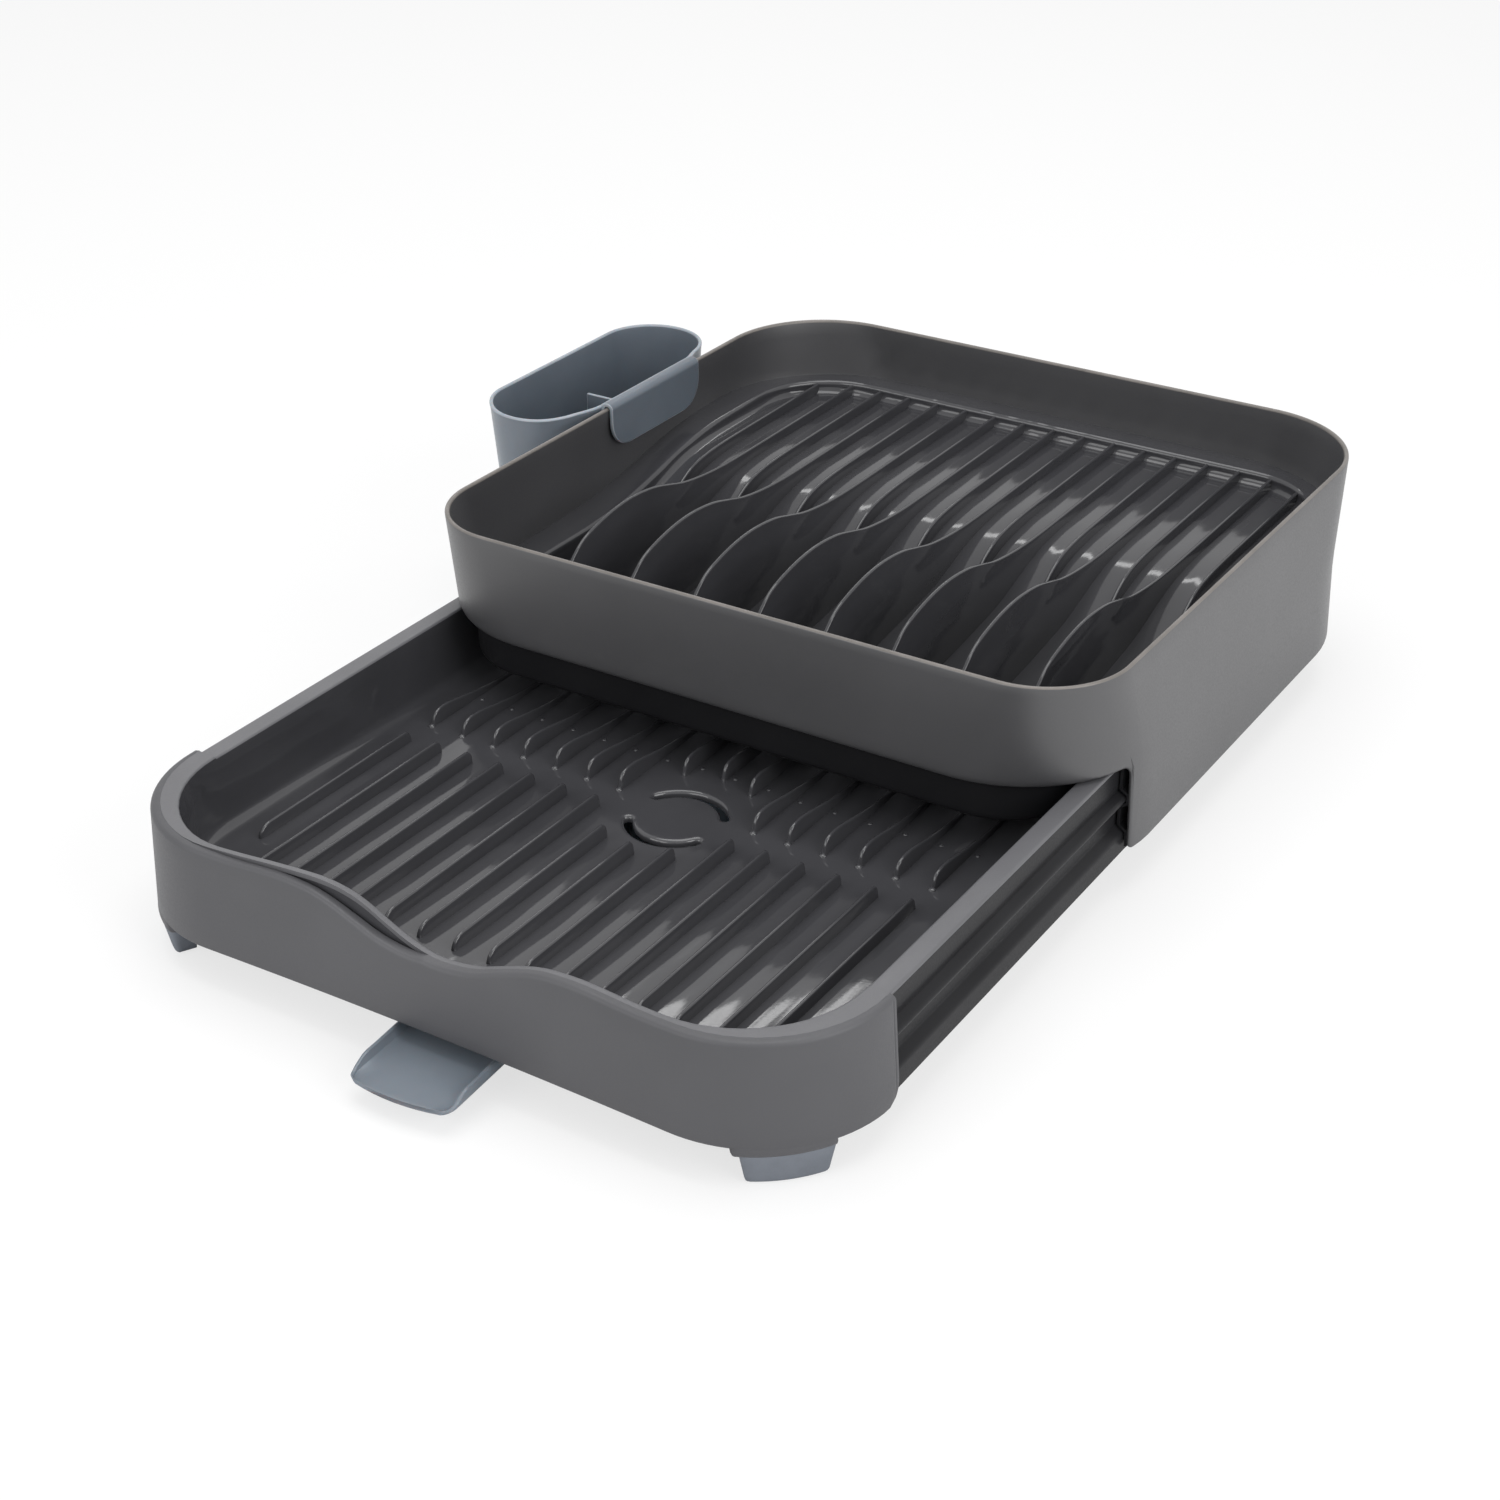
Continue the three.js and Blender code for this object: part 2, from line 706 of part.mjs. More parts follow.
function makeSkirt() {
  const top = wallFoot - seatGap;
  const ring = cut(underWall(skirtLowEdge, top, 0), underWall(0, wallFoot, -rackWall));
  const front = block(
    [-2 * rackHalfWidth, 2 * rackHalfWidth],
    [0, skirtFront],
    [0, skyHeight],
  );
  const posts = railLines.map((side) => {
    const centre = side * rearFootX;
    const span = (inset) => [centre - rearFootLength / 2 + inset, centre + rearFootLength / 2 - inset];
    const face = skirtRearFace - rearFootDepth;
    const outside = block(span(0), [face, skirtRearFace + rackWall / 2], [skirtLowEdge, postHeight]);
    const hollow = block(
      span(postWall),
      [face + postWall, skirtRearFace],
      [skirtLowEdge + postWall, postHeight + overrun],
    );
    return cut(outside, hollow).intersect(underWall(0, wallFoot, 0));
  });
  addPiece("rack_skirt", join(cut(ring, front), ...posts), charcoalSatin);
}

function makeRearFeet() {
  for (const side of railLines) {
    const plan = {
      half: rearFootLength / 2,
      front: skirtRearFace - rearFootDepth,
      back: skirtRearFace,
      frontRadius: rearFootRadius,
      rearRadius: rearFootRadius,
    };
    const underSkirt = underWall(footSole - overrun, skirtLowEdge, -rackWall);
    const foot = column(plan, 0, footSole, skirtLowEdge - seatGap)
      .translate([side * rearFootX, 0, 0])
      .intersect(underSkirt);
    addPiece(side < 0 ? "foot_rear_left" : "foot_rear_right", foot, footGrey);
  }
}

// Folded strips inside the skirt whose two hollow teeth ride in the tray's grooves.
function makeGuides() {
  const tooth = railRim + slideGap;
  const upper = railShelfHeight + slideGap;
  const lower = railLowerShelf + slideGap;
  const roof = railUndercut - slideGap;
  const face = [
    [tooth, guideTop],
    [tooth, upper],
    [guideInner, upper],
    [guideInner, roof],
    [tooth, roof],
    [tooth, lower],
    [guideInner, lower],
    [guideInner, skirtLowEdge],
  ];
  const back = [
    [guideOuter, skirtLowEdge],
    [guideOuter, lower + guideWall],
    [tooth + guideWall, lower + guideWall],
    [tooth + guideWall, roof - guideWall],
    [guideOuter, roof - guideWall],
    [guideOuter, upper + guideWall],
    [tooth + guideWall, upper + guideWall],
    [tooth + guideWall, guideTop],
  ];
  const rearEnd = footPlan.back - footPlan.rearRadius;
  const inside = underWall(0, wallFoot, -rackWall - seatGap);
  for (const side of railLines) {
    const outline = [...face, ...back].map(([x, z]) => new THREE.Vector2(side * x, z));
    const guide = prism("y", outline, skirtFront + seatGap, rearEnd).intersect(inside);
    addPiece(side < 0 ? "guide_rail_left" : "guide_rail_right", guide, charcoalSatin);
  }
}

// Lines along the well, as shares of its length from the front and of its depth between its two floors.
const wellLength = wellBack - wellFront;
const wellDrop = wellRearFloor - wellFrontFloor;
const atWell = (along) => wellFront + along * wellLength;
const floorShares = [
  [0, 0],
  [0.2, 0.16],
  [0.33, 0.3],
  [0.42, 0.42],
  [0.48, 0.52],
  [0.53, 0.67],
  [0.57, 0.8],
  [0.62, 0.92],
  [0.68, 0.98],
  [0.76, 1],
  [1, 1],
];
const floorLine = smooth(floorShares.map(([along, up]) => [atWell(along), wellFrontFloor + up * wellDrop]));
// The ledge round the well comes down with the floor: shares of the well's length and of its own drop.
const ledgeShares = [
  [-0.05, 0],
  [0.31, 0],
  [0.38, 0.03],
  [0.44, 0.1],
  [0.49, 0.22],
  [0.54, 0.4],
  [0.59, 0.61],
  [0.64, 0.8],
  [0.69, 0.93],
  [0.74, 0.99],
  [0.79, 1],
  [1.07, 1],
];
const ledgeDrop = ledgeRearHeight - ledgeFrontHeight;
const ledgeLine = smooth(ledgeShares.map(([along, up]) => [atWell(along), ledgeFrontHeight + up * ledgeDrop]));
const ribRise = basinRibTop - wellRearFloor;
const lowRibShares = [
  [0.52, -1.5],
  [0.545, -0.45],
  [0.575, 0.35],
  [0.61, 0.75],
  [0.66, 0.95],
  [0.74, 1],
  [1, 1],
];
const lowRibLine = smooth(
  lowRibShares.map(([along, up]) => [atWell(along), wellRearFloor + up * ribRise]),
  lineSteps / 2,
);

function makeBasin() {
  const wide = rackHalfWidth;
  const [lowest, highest] = [floorLine[0], floorLine.at(-1)];
  const longFloor = [
    new THREE.Vector2(lowest.x - overrun, lowest.y),
    ...floorLine,
    new THREE.Vector2(highest.x + overrun, highest.y),
  ];
  const overUnderside = prism("x", above(lowered(longFloor, basinWall), skyHeight), -wide, wide);
  const overFloor = prism("x", above(longFloor, skyHeight + overrun), -wide, wide);
  const overWall = 2 * rackHalfWidth;
  const underLedge = prism("x", below(ledgeLine, 0), -overWall, overWall);
  const underPlate = prism("x", below(lowered(ledgeLine, basinWall), -overrun), -overWall, overWall);
  const room = underWall(wallFoot, rimHeight, -rackWall - seatGap);
  const plate = cut(room.intersect(underLedge), underPlate, column(wellPlan, 0, -overrun, skyHeight));
  const tub = cut(
    column(wellPlan, basinWall, 0, skyHeight).intersect(underLedge).intersect(overUnderside),
    column(wellPlan, 0, -overrun, skyHeight + overrun).intersect(overFloor),
  );
  const onFloor = prism("x", above(lowered(longFloor, basinWall / 2), skyHeight), -wide, wide);
  const lowRibs = lowRibLines.map((x) => {
    const half = basinRibWidth / 2;
    const side = prism("x", below(lowRibLine, wellFrontFloor), x - half, x + half);
    return side.intersect(onFloor).intersect(column(wellPlan, basinWall / 2, 0, skyHeight));
  });
  const slits = lowRibLines.map((x) =>
    block(
      [x - drainSlitWidth / 2, x + drainSlitWidth / 2],
      [drainSlitY, drainSlitY + drainSlitLength],
      [0, ledgeFrontHeight],
    ),
  );
  addPiece("rack_basin", cut(join(tub, plate, ...lowRibs), ...slits), charcoalGloss);
}

// Fin outline: shares of the well's length, and of the rise from the rear ribs' tops to the crest.
const crestRise = finCrest - basinRibTop;
const finFrontShare = (finFront - wellFront) / wellLength;
const finShares = [
  [finFrontShare, -2.6],
  [finFrontShare + 0.012, -1.45],
  [finFrontShare + 0.033, -0.7],
  [finFrontShare + 0.06, -0.1],
  [finFrontShare + 0.09, 0.44],
  [finFrontShare + 0.125, 0.72],
  [finFrontShare + 0.175, 0.94],
  [finFrontShare + 0.225, 1],
  [finFrontShare + 0.28, 0.87],
  [finFrontShare + 0.325, 0.6],
  [finFrontShare + 0.365, 0.34],
  [finFrontShare + 0.41, 0.17],
  [finFrontShare + 0.46, 0.06],
  [finFrontShare + 0.52, 0.01],
  [0.74, 0],
  [1, 0],
];

function makeFins() {
  const topLine = smooth(finShares.map(([along, up]) => [atWell(along), basinRibTop + up * crestRise]));
  const body = prism("x", below(topLine, 0), -finThickness / 2, finThickness / 2);
  const seat = prism("x", below(lowered(floorLine, -seatGap), -overrun), -finThickness, finThickness);
  const fin = cut(body, seat);
  const room = column(wellPlan, -seatGap, 0, skyHeight);
  for (let place = 0; place < finCount; place += 1) {
    const x = (2 * place - (finCount - 1)) * ribPitch;
    addPiece(`plate_fin_${place + 1}`, fin.translate([x, 0, 0]).intersect(room), charcoalGloss);
  }
}

// The cutlery holder: a tapered cup outside the bowl, a hook over its rim and a divider.
const cupCentre = -(footPlan.half + cupToWall + cupHalfWidth);
const cupPlan = {
  half: cupHalfWidth,
  front: cupFront,
  back: cupBack,
  frontRadius: cupEndRadius,
  rearRadius: cupEndRadius,
};
const cupMiddle = (cupFront + cupBack) / 2;

function makeHolder() {
  const taperAt = (height) => (-cupTaper * (cupTop - height)) / (cupTop - cupBottom);
  const outer = loft([
    [outlineOf(cupPlan, taperAt(cupBottom)), cupBottom],
    [outlineOf(cupPlan, 0), cupTop],
  ]);
  const inner = loft([
    [outlineOf(cupPlan, taperAt(cupBottom + cupWall) - cupWall), cupBottom + cupWall],
    [outlineOf(cupPlan, -cupWall), cupTop],
    [outlineOf(cupPlan, -cupWall), cupTop + overrun],
  ]);
  const slits = [];
  for (const side of railLines) {
    const y = cupMiddle + side * (cupSlitLength / 2 + dividerWall + cupSlitWidth);
    for (let row = -1; row <= 1; row += 1) {
      const x = row * cupSlitPitch;
      slits.push(
        block(
          [x - cupSlitWidth / 2, x + cupSlitWidth / 2],
          [y - cupSlitLength / 2, y + cupSlitLength / 2],
          [0, cupBottom + cupWall + overrun],
        ),
      );
    }
  }
  addPiece("cutlery_cup", cut(outer, inner, ...slits).translate([cupCentre, 0, 0]), blueGrey);

  const room = loft([
    [outlineOf(cupPlan, taperAt(cupBottom + cupWall) - cupWall - seatGap), cupBottom + cupWall + seatGap],
    [outlineOf(cupPlan, taperAt(dividerTop) - cupWall - seatGap), dividerTop],
  ]);
  const sheet = block(
    [-dividerReach, cupHalfWidth],
    [cupMiddle - dividerWall / 2, cupMiddle + dividerWall / 2],
    [0, skyHeight],
  );
  addPiece("holder_divider", room.intersect(sheet).translate([cupCentre, 0, 0]), blueGrey);

  const outside = cupCentre + cupHalfWidth + seatGap;
  const inside = -(rackHalfWidth - rackWall - seatGap);
  const top = rimHeight + seatGap + hookThickness;
  const bottom = ledgeRearHeight + hookToLedge;
  const hookCornerRadius = hookCornerShare * (top - bottom);
  const flange = new THREE.Shape();
  flange.moveTo(hookFront, top);
  flange.lineTo(hookFront, bottom + hookCornerRadius);
  flange.quadraticCurveTo(hookFront, bottom, hookFront + hookCornerRadius, bottom);
  flange.lineTo(hookBack - hookCornerRadius, bottom);
  flange.quadraticCurveTo(hookBack, bottom, hookBack, bottom + hookCornerRadius);
  flange.lineTo(hookBack, top);
  const tongue = prism("x", flange, inside, inside + hookThickness);
  const saddle = block([outside, inside + hookThickness], [hookFront, hookBack], [rimHeight + seatGap, top]);
  addPiece("holder_hook", join(tongue, saddle), blueGrey);
}

makeBowl();
makeBasin();
makeSkirt();
makeFins();
makeGuides();
makeRearFeet();
makeTray();
makeFascia();
makeRails();
makeFrontFeet();
makeSpout();
makeHolder();

// The origin is the middle of the base of the whole rack as it stands, pulled out.
const extent = new THREE.Box3().setFromObject(rack);
rack.position.set(-(extent.min.x + extent.max.x) / 2, -(extent.min.y + extent.max.y) / 2, -extent.min.z);

export default rack;
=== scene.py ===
# Expandable dish rack: a bowl with plate fins over a pull-out drain tray, a spout and a cutlery holder
import bisect
import math

import bmesh
import bpy
from mathutils import Matrix, Vector


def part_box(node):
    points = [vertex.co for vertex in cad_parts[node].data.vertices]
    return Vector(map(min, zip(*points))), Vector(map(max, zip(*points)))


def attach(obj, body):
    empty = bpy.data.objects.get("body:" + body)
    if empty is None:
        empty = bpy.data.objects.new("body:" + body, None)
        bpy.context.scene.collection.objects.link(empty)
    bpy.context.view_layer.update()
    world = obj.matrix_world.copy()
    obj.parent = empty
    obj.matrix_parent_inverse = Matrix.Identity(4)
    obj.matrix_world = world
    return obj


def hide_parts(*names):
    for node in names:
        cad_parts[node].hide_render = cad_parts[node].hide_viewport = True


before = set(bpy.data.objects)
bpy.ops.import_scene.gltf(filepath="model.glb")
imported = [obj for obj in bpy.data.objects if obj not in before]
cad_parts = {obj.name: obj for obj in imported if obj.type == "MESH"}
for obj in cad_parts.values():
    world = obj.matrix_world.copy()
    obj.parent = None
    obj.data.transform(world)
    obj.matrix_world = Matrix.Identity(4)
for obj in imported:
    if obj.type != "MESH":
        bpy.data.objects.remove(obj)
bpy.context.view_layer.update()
print("frame loaded")

# The pieces are drawn in millimetres. The tray's back edge and sides fix where that drawing lies.
mm = 0.001
trayBackEdge = 345
soleDepth = 3.5
trayLow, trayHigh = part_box("drain_tray")
home = Vector(((trayLow.x + trayHigh.x) / 2, trayHigh.y - trayBackEdge * mm, soleDepth * mm))


def at(x, y, z):
    return home + Vector((x, y, z)) * mm


def mix(first, last, share):
    return first + (last - first) * share


def eased(share):
    share = min(1, max(0, share))
    return share * share * (3 - 2 * share)


# How far a round edge has drawn in, at a share of the way down from its end
def drawnIn(share):
    return 1 - math.sqrt(max(0, 1 - (1 - share) ** 2))


def onTurn(degrees):
    turn = math.radians(degrees)
    return math.cos(turn), math.sin(turn)


def linearColour(hexCode):
    shares = [int(hexCode[i:i + 2], 16) / 255 for i in (1, 3, 5)]
    return [s / 12.92 if s <= 0.04045 else ((s + 0.055) / 1.055) ** 2.4 for s in shares] + [1]


def addNode(tree, kind, sockets=None, **settings):
    made = tree.nodes.new(kind)
    for name, value in settings.items():
        setattr(made, name, value)
    for name, value in (sockets or {}).items():
        if isinstance(value, bpy.types.NodeSocket):
            tree.links.new(value, made.inputs[name])
        else:
            made.inputs[name].default_value = value
    return made


def place(name, data):
    made = bpy.data.objects.new(name, data)
    bpy.context.scene.collection.objects.link(made)
    return made


# Camera, at the height and turn of the photograph
view = {"azimuth": 31.69, "elevation": 29.87, "place": (540.9, -595.7, 599.9),
        "lens": 59.8, "sensor": 36, "shift": (-0.0264, 0.0036), "nearest": 0.05, "farthest": 50}


def makeCamera():
    (turnX, turnY), (level, down) = onTurn(view["azimuth"]), onTurn(view["elevation"])
    ahead = Vector((-turnY * level, turnX * level, -down))
    right = Vector((turnX, turnY, 0))
    lens = bpy.data.cameras.new("photoCamera")
    lens.lens, lens.sensor_width, lens.sensor_fit = view["lens"], view["sensor"], "HORIZONTAL"
    lens.shift_x, lens.shift_y = view["shift"]
    lens.clip_start, lens.clip_end = view["nearest"], view["farthest"]
    camera = place("photoCamera", lens)
    facing = Matrix((right, right.cross(ahead), -ahead)).transposed().to_4x4()
    camera.matrix_world = Matrix.Translation(at(*view["place"])) @ facing
    bpy.context.scene.camera = camera


makeCamera()

# Plastics. The cloud is the faint shading of a large moulding, the grain is the tool's own, and the wave
# is the slow unevenness that a moulding shows in its reflections. Lengths are in millimetres.
charcoal = {"rough": (0.38, 0.48), "cloud": 70, "grain": 0.9, "grainDepth": 0.02, "wave": 45,
            "waveDepth": 0.25, "along": 1, "specular": 0.45, "soft": 0.0}
blueGrey = {"rough": (0.30, 0.40), "cloud": 40, "grain": 1.0, "grainDepth": 0.012, "wave": 30,
            "waveDepth": 0.15, "along": 1, "specular": 0.45, "soft": 0.12}
plastics = {
    # from a spark-eroded tool: soft sheen, even grey, a trace of grain
    "erodedPolypropylene": {**charcoal, "light": "#434345", "dark": "#3e3e40"},
    # the bowl's outside, worn smoother, so its sides shine at a slant
    "wornPolypropylene": {**charcoal, "light": "#444446", "dark": "#3f3f41", "rough": (0.34, 0.44),
                          "specular": 0.95},
    # the fascia: the same charcoal painted a little paler, painted light that makes it read brighter than
    # the shaded bowl wall above it
    "paintedLightFasciaPolypropylene": {**charcoal, "light": "#505053", "dark": "#4b4b4e", "rough": (0.42, 0.52),
                             "cloud": 80, "grain": 0.8, "wave": 60, "waveDepth": 0.2},
    # the tray's rim, painted pale: a painted highlight on its up-facing strip under the overhead light
    "paintedRimHighlightPolypropylene": {**charcoal, "light": "#636366", "dark": "#5c5c5f", "rough": (0.36, 0.46),
                             "cloud": 60, "grainDepth": 0.015, "waveDepth": 0.2, "specular": 0.5},
    # the rails and the skirt's guides, painted dark and given little shine: painted shade for the shadow
    # they lie in
    "paintedShadeRailPolypropylene": {**charcoal, "light": "#28282a", "dark": "#232325", "rough": (0.3, 0.42),
                          "cloud": 50, "grain": 1.0, "wave": 40, "waveDepth": 0.2, "specular": 0.12},
    # the basin's underside, painted dark: painted shade where it lies in shadow over the tray
    "paintedShadeUndersidePolypropylene": {**charcoal, "light": "#1d1d1f", "dark": "#19191b", "rough": (0.4, 0.5),
                           "cloud": 60, "grain": 1.2, "wave": 40, "waveDepth": 0.2, "specular": 0.15},
    # the bowl's thin rim edges, painted pale: a painted highlight where the rounded rim catches the light
    "paintedEdgeHighlightPolypropylene": {**charcoal, "light": "#75706c", "dark": "#67635f", "rough": (0.30, 0.42),
                            "cloud": 18, "grain": 1.2, "grainDepth": 0.015, "wave": 30, "waveDepth": 0.1,
                            "specular": 0.5},
    # from a polished tool: clear reflections that swim a little, drawn out along the ribs
    "polishedPolypropylene": {**charcoal, "light": "#434346", "dark": "#3e3e41", "rough": (0.05, 0.09),
                              "cloud": 55, "grain": 1.4, "grainDepth": 0.006, "wave": 11,
                              "waveDepth": 0.45, "along": 0.16, "specular": 0.6},
    # the bowl's inside, half polished: broad soft highlights
    "halfPolishedPolypropylene": {**charcoal, "light": "#3e3e41", "dark": "#39393c", "rough": (0.06, 0.1),
                                  "cloud": 60, "grain": 1.2, "grainDepth": 0.006, "wave": 12,
                                  "waveDepth": 0.5, "along": 0.16, "specular": 0.55},
    # tinted blue-grey: satin, and light enters it a little
    "tintedPolypropylene": {**blueGrey, "light": "#646c75", "dark": "#5c646d"},
    # the same outside the cup and on the spout, painted a little paler: painted light on their lit outsides
    "paintedLightTintedPolypropylene": {**blueGrey, "light": "#767e87", "dark": "#6e767f"},
    # its thin edges, painted paler: painted light standing in for light that shines through them
    "paintedEdgeLightTintedPolypropylene": {**blueGrey, "light": "#99a1a9", "dark": "#9098a0", "cloud": 30,
                                "grainDepth": 0.01, "waveDepth": 0.1, "specular": 0.5, "soft": 0.2},
    # thermoplastic rubber of the feet: dull, finely pitted
    "mouldedRubber": {**charcoal, "light": "#737880", "dark": "#6b7078", "rough": (0.6, 0.72), "cloud": 12,
                      "grain": 0.8, "grainDepth": 0.05, "wave": 20, "waveDepth": 0.1, "specular": 0.35}}
moulding = {"cloudStops": (0.35, 0.65), "grainStops": (0.3, 0.7), "ior": 1.49, "softDepth": 1.5}


def mouldPlastic(name):
    look = plastics[name]
    made = bpy.data.materials.new(name)
    made.use_nodes = True
    tree = made.node_tree
    tree.nodes.clear()
    where = addNode(tree, "ShaderNodeTexCoord").outputs["Object"]
    drawn = addNode(tree, "ShaderNodeMapping", {"Vector": where, "Scale": (1, look["along"], 1)}).outputs[0]
    cloud, wave, grain = [addNode(tree, "ShaderNodeTexNoise", {
        "Vector": spread, "Scale": 1 / (look[kind] * mm), "Detail": detail}).outputs["Fac"]
        for kind, spread, detail in (("cloud", where, 3.0), ("wave", drawn, 1.0), ("grain", where, 2.0))]
    ramp = addNode(tree, "ShaderNodeValToRGB", {"Fac": cloud})
    for stop, position, tone in zip(ramp.color_ramp.elements, moulding["cloudStops"], ("dark", "light")):
        stop.position, stop.color = position, linearColour(look[tone])
    low, high = moulding["grainStops"]
    dull = addNode(tree, "ShaderNodeMapRange", {"Value": grain, "From Min": low, "From Max": high,
                                                "To Min": look["rough"][0], "To Max": look["rough"][1]})
    swim = addNode(tree, "ShaderNodeBump", {"Height": wave, "Distance": look["waveDepth"] * mm})
    bump = addNode(tree, "ShaderNodeBump", {"Height": grain, "Distance": look["grainDepth"] * mm,
                                            "Normal": swim.outputs["Normal"]})
    shader = addNode(tree, "ShaderNodeBsdfPrincipled", {
        "Base Color": ramp.outputs["Color"], "Roughness": dull.outputs["Result"],
        "Normal": bump.outputs["Normal"], "Specular IOR Level": look["specular"], "IOR": moulding["ior"],
        "Subsurface Weight": look["soft"], "Subsurface Scale": moulding["softDepth"] * mm})
    addNode(tree, "ShaderNodeOutputMaterial", {"Surface": shader.outputs["BSDF"]})
    return made


finishes = {name: mouldPlastic(name) for name in plastics}
print("plastics mixed")


# A smooth line through stops of two numbers each
def smoothLine(stops, fine=6):
    line, last = [], len(stops) - 1
    for k in range(last):
        a, b, c, d = (stops[max(0, min(last, k + step))] for step in (-1, 0, 1, 2))
        for step in range(fine):
            t = step / fine
            spotOn = []
            for i in (0, 1):
                v, w = (c[i] - a[i]) / 2, (d[i] - b[i]) / 2
                cubic, square = 2 * b[i] - 2 * c[i] + v + w, 3 * c[i] - 3 * b[i] - 2 * v - w
                spotOn.append(((cubic * t + square) * t + v) * t + b[i])
            line.append(tuple(spotOn))
    return line + [tuple(stops[-1])]


def heightOn(line, where):
    if where <= line[0][0]:
        return line[0][1]
    if where >= line[-1][0]:
        return line[-1][1]
    k = bisect.bisect_right(line, (where, math.inf)) - 1
    (u, low), (v, high) = line[k], line[k + 1]
    return low if v <= u else mix(low, high, (where - u) / (v - u))


# A spot on the right half of a round-cornered plan, with the way outwards from it. The parts run from the
# front's middle: 0 front, 1 front corner, 2 side, 3 rear corner, 4 rear.
def spot(plan, part, share):
    half, near, far = plan["half"], plan["front"], plan["back"]
    frontRadius, rearRadius = plan["frontRadius"], plan["rearRadius"]
    if part == 0:
        return share * (half - frontRadius), near, 0, -1
    if part == 2:
        return half, mix(near + frontRadius, far - rearRadius, share), 1, 0
    if part == 4:
        return (1 - share) * (half - rearRadius), far, 0, 1
    radius, middle = (frontRadius, near + frontRadius) if part == 1 else (rearRadius, far - rearRadius)
    outX, outY = onTurn(90 * share - (90 if part == 1 else 0))
    return half - radius + radius * outX, middle + radius * outY, outX, outY


def routeRound(front, corner, side, extra=()):
    counts = (front, corner, side, corner, front)
    stops = [(part, step / count) for part, count in enumerate(counts) for step in range(count)]
    return sorted(stops + [(2, share) for share in extra]) + [(4, 1)]


def mirrored(right):
    return right + [(-p[0], *p[1:]) for p in reversed(right[1:-1])]


def ringOf(plan, grow, height, route):
    right = []
    for part, share in route:
        x, y, outX, outY = spot(plan, part, share)
        out = grow(x, y) if callable(grow) else grow
        right.append((x + outX * out, y + outY * out))
    return [(x, y, height(x, y) if callable(height) else height) for x, y in mirrored(right)]


# Faces between rings, which may close on the first ring again or get a face at each end
def skinOf(rings, closed=False, capped=False):
    points = [p for ring in rings for p in ring]
    size, count = len(rings[0]), len(rings)
    faces = [tuple(range(size)), tuple(range(len(points) - size, len(points)))] if capped else []
    for first in range(count if closed else count - 1):
        second = (first + 1) % count
        for k in range(size):
            m = (k + 1) % size
            faces.append((first * size + k, first * size + m, second * size + m, second * size + k))
    return points, faces


def joined(skins):
    points, faces = [], []
    for morePoints, moreFaces in skins:
        faces += [tuple(len(points) + k for k in face) for face in moreFaces]
        points += morePoints
    return points, faces


# A floor inside a ring, in rows from side to side
def layFloor(points, faces, start, size, front, height):
    half = size // 2
    rows = []
    for i in range(front, half - front + 1):
        if i == front:
            row = [start + k % size for k in range(size - front, size + front + 1)]
        elif i == half - front:
            row = [start + k for k in range(half + front, half - front - 1, -1)]
        else:
            left, right = start + size - i, start + i
            row = [left]
            for step in range(1, 2 * front):
                x, y = mix(points[left][0], points[right][0], step / (2 * front)), points[left][1]
                points.append((x, y, height(x, y) if callable(height) else height))
                row.append(len(points) - 1)
            row.append(right)
        rows.append(row)
    for near, far in zip(rows, rows[1:]):
        faces += [(near[k], near[k + 1], far[k + 1], far[k]) for k in range(2 * front)]


def floorBoth(rings, front, top, bottom):
    points, faces = skinOf(rings)
    size = len(rings[0])
    layFloor(points, faces, (len(rings) - 1) * size, size, front, top)
    layFloor(points, faces, 0, size, front, bottom)
    return points, faces


def pieceFrom(name, skin, looks, marks=None, crease=32):
    points, faces = skin
    mesh = bpy.data.meshes.new(name)
    mesh.from_pydata([at(*p) for p in points], [], faces)
    for look in looks:
        mesh.materials.append(finishes[look])
    if marks:
        mesh.polygons.foreach_set("material_index", marks)
    shell = bmesh.new()
    shell.from_mesh(mesh)
    bmesh.ops.remove_doubles(shell, verts=shell.verts, dist=0.004 * mm)
    bmesh.ops.recalc_face_normals(shell, faces=shell.faces)
    shell.to_mesh(mesh)
    shell.free()
    mesh.shade_smooth()
    mesh.set_sharp_from_angle(angle=math.radians(crease))
    return place(name, mesh)


def bake(piece):
    bpy.context.view_layer.update()
    seen = piece.evaluated_get(bpy.context.evaluated_depsgraph_get())
    mesh = bpy.data.meshes.new_from_object(seen)
    piece.modifiers.clear()
    piece.data = mesh
    return piece


def fitPiece(piece, body, slot, *stands):
    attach(piece, body)
    if stands:
        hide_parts(*stands)


# Upright holes through a piece, one on each closed outline
def carve(piece, look, outlines, low, high):
    blocks = joined(skinOf([[(*p, z) for p in outline] for z in (low, high)], capped=True)
                    for outline in outlines)
    cutter = pieceFrom("cutter", blocks, [look])
    tool = piece.modifiers.new("cut", "BOOLEAN")
    tool.operation, tool.solver, tool.object = "DIFFERENCE", "EXACT", cutter
    bake(piece)
    piece.data.set_sharp_from_angle(angle=math.radians(40))
    bpy.data.objects.remove(cutter)


def slitOutline(x, middle, width, length):
    plan = {"half": width / 2, "front": middle - length / 2, "back": middle + length / 2,
            "frontRadius": width / 2 - 0.01, "rearRadius": width / 2 - 0.01}
    return [(x + px, py) for px, py, _ in ringOf(plan, 0, 0, routeRound(1, 4, 1))]


# A path with its corners rounded, each stop (x, z, radius)
def rounded(stops, fine=4):
    line = []
    for k, (x, z, radius) in enumerate(stops):
        here = Vector((x, z))
        if k in (0, len(stops) - 1) or radius == 0:
            line.append(here)
            continue
        back, forth = Vector(stops[k - 1][:2]) - here, Vector(stops[k + 1][:2]) - here
        reach = min(radius / math.tan(back.angle(forth) / 2), back.length * 0.48, forth.length * 0.48)
        start, end = here + back.normalized() * reach, here + forth.normalized() * reach
        for step in range(fine + 1):
            t = step / fine
            line.append(start * (1 - t) ** 2 + here * 2 * t * (1 - t) + end * t * t)
    return line


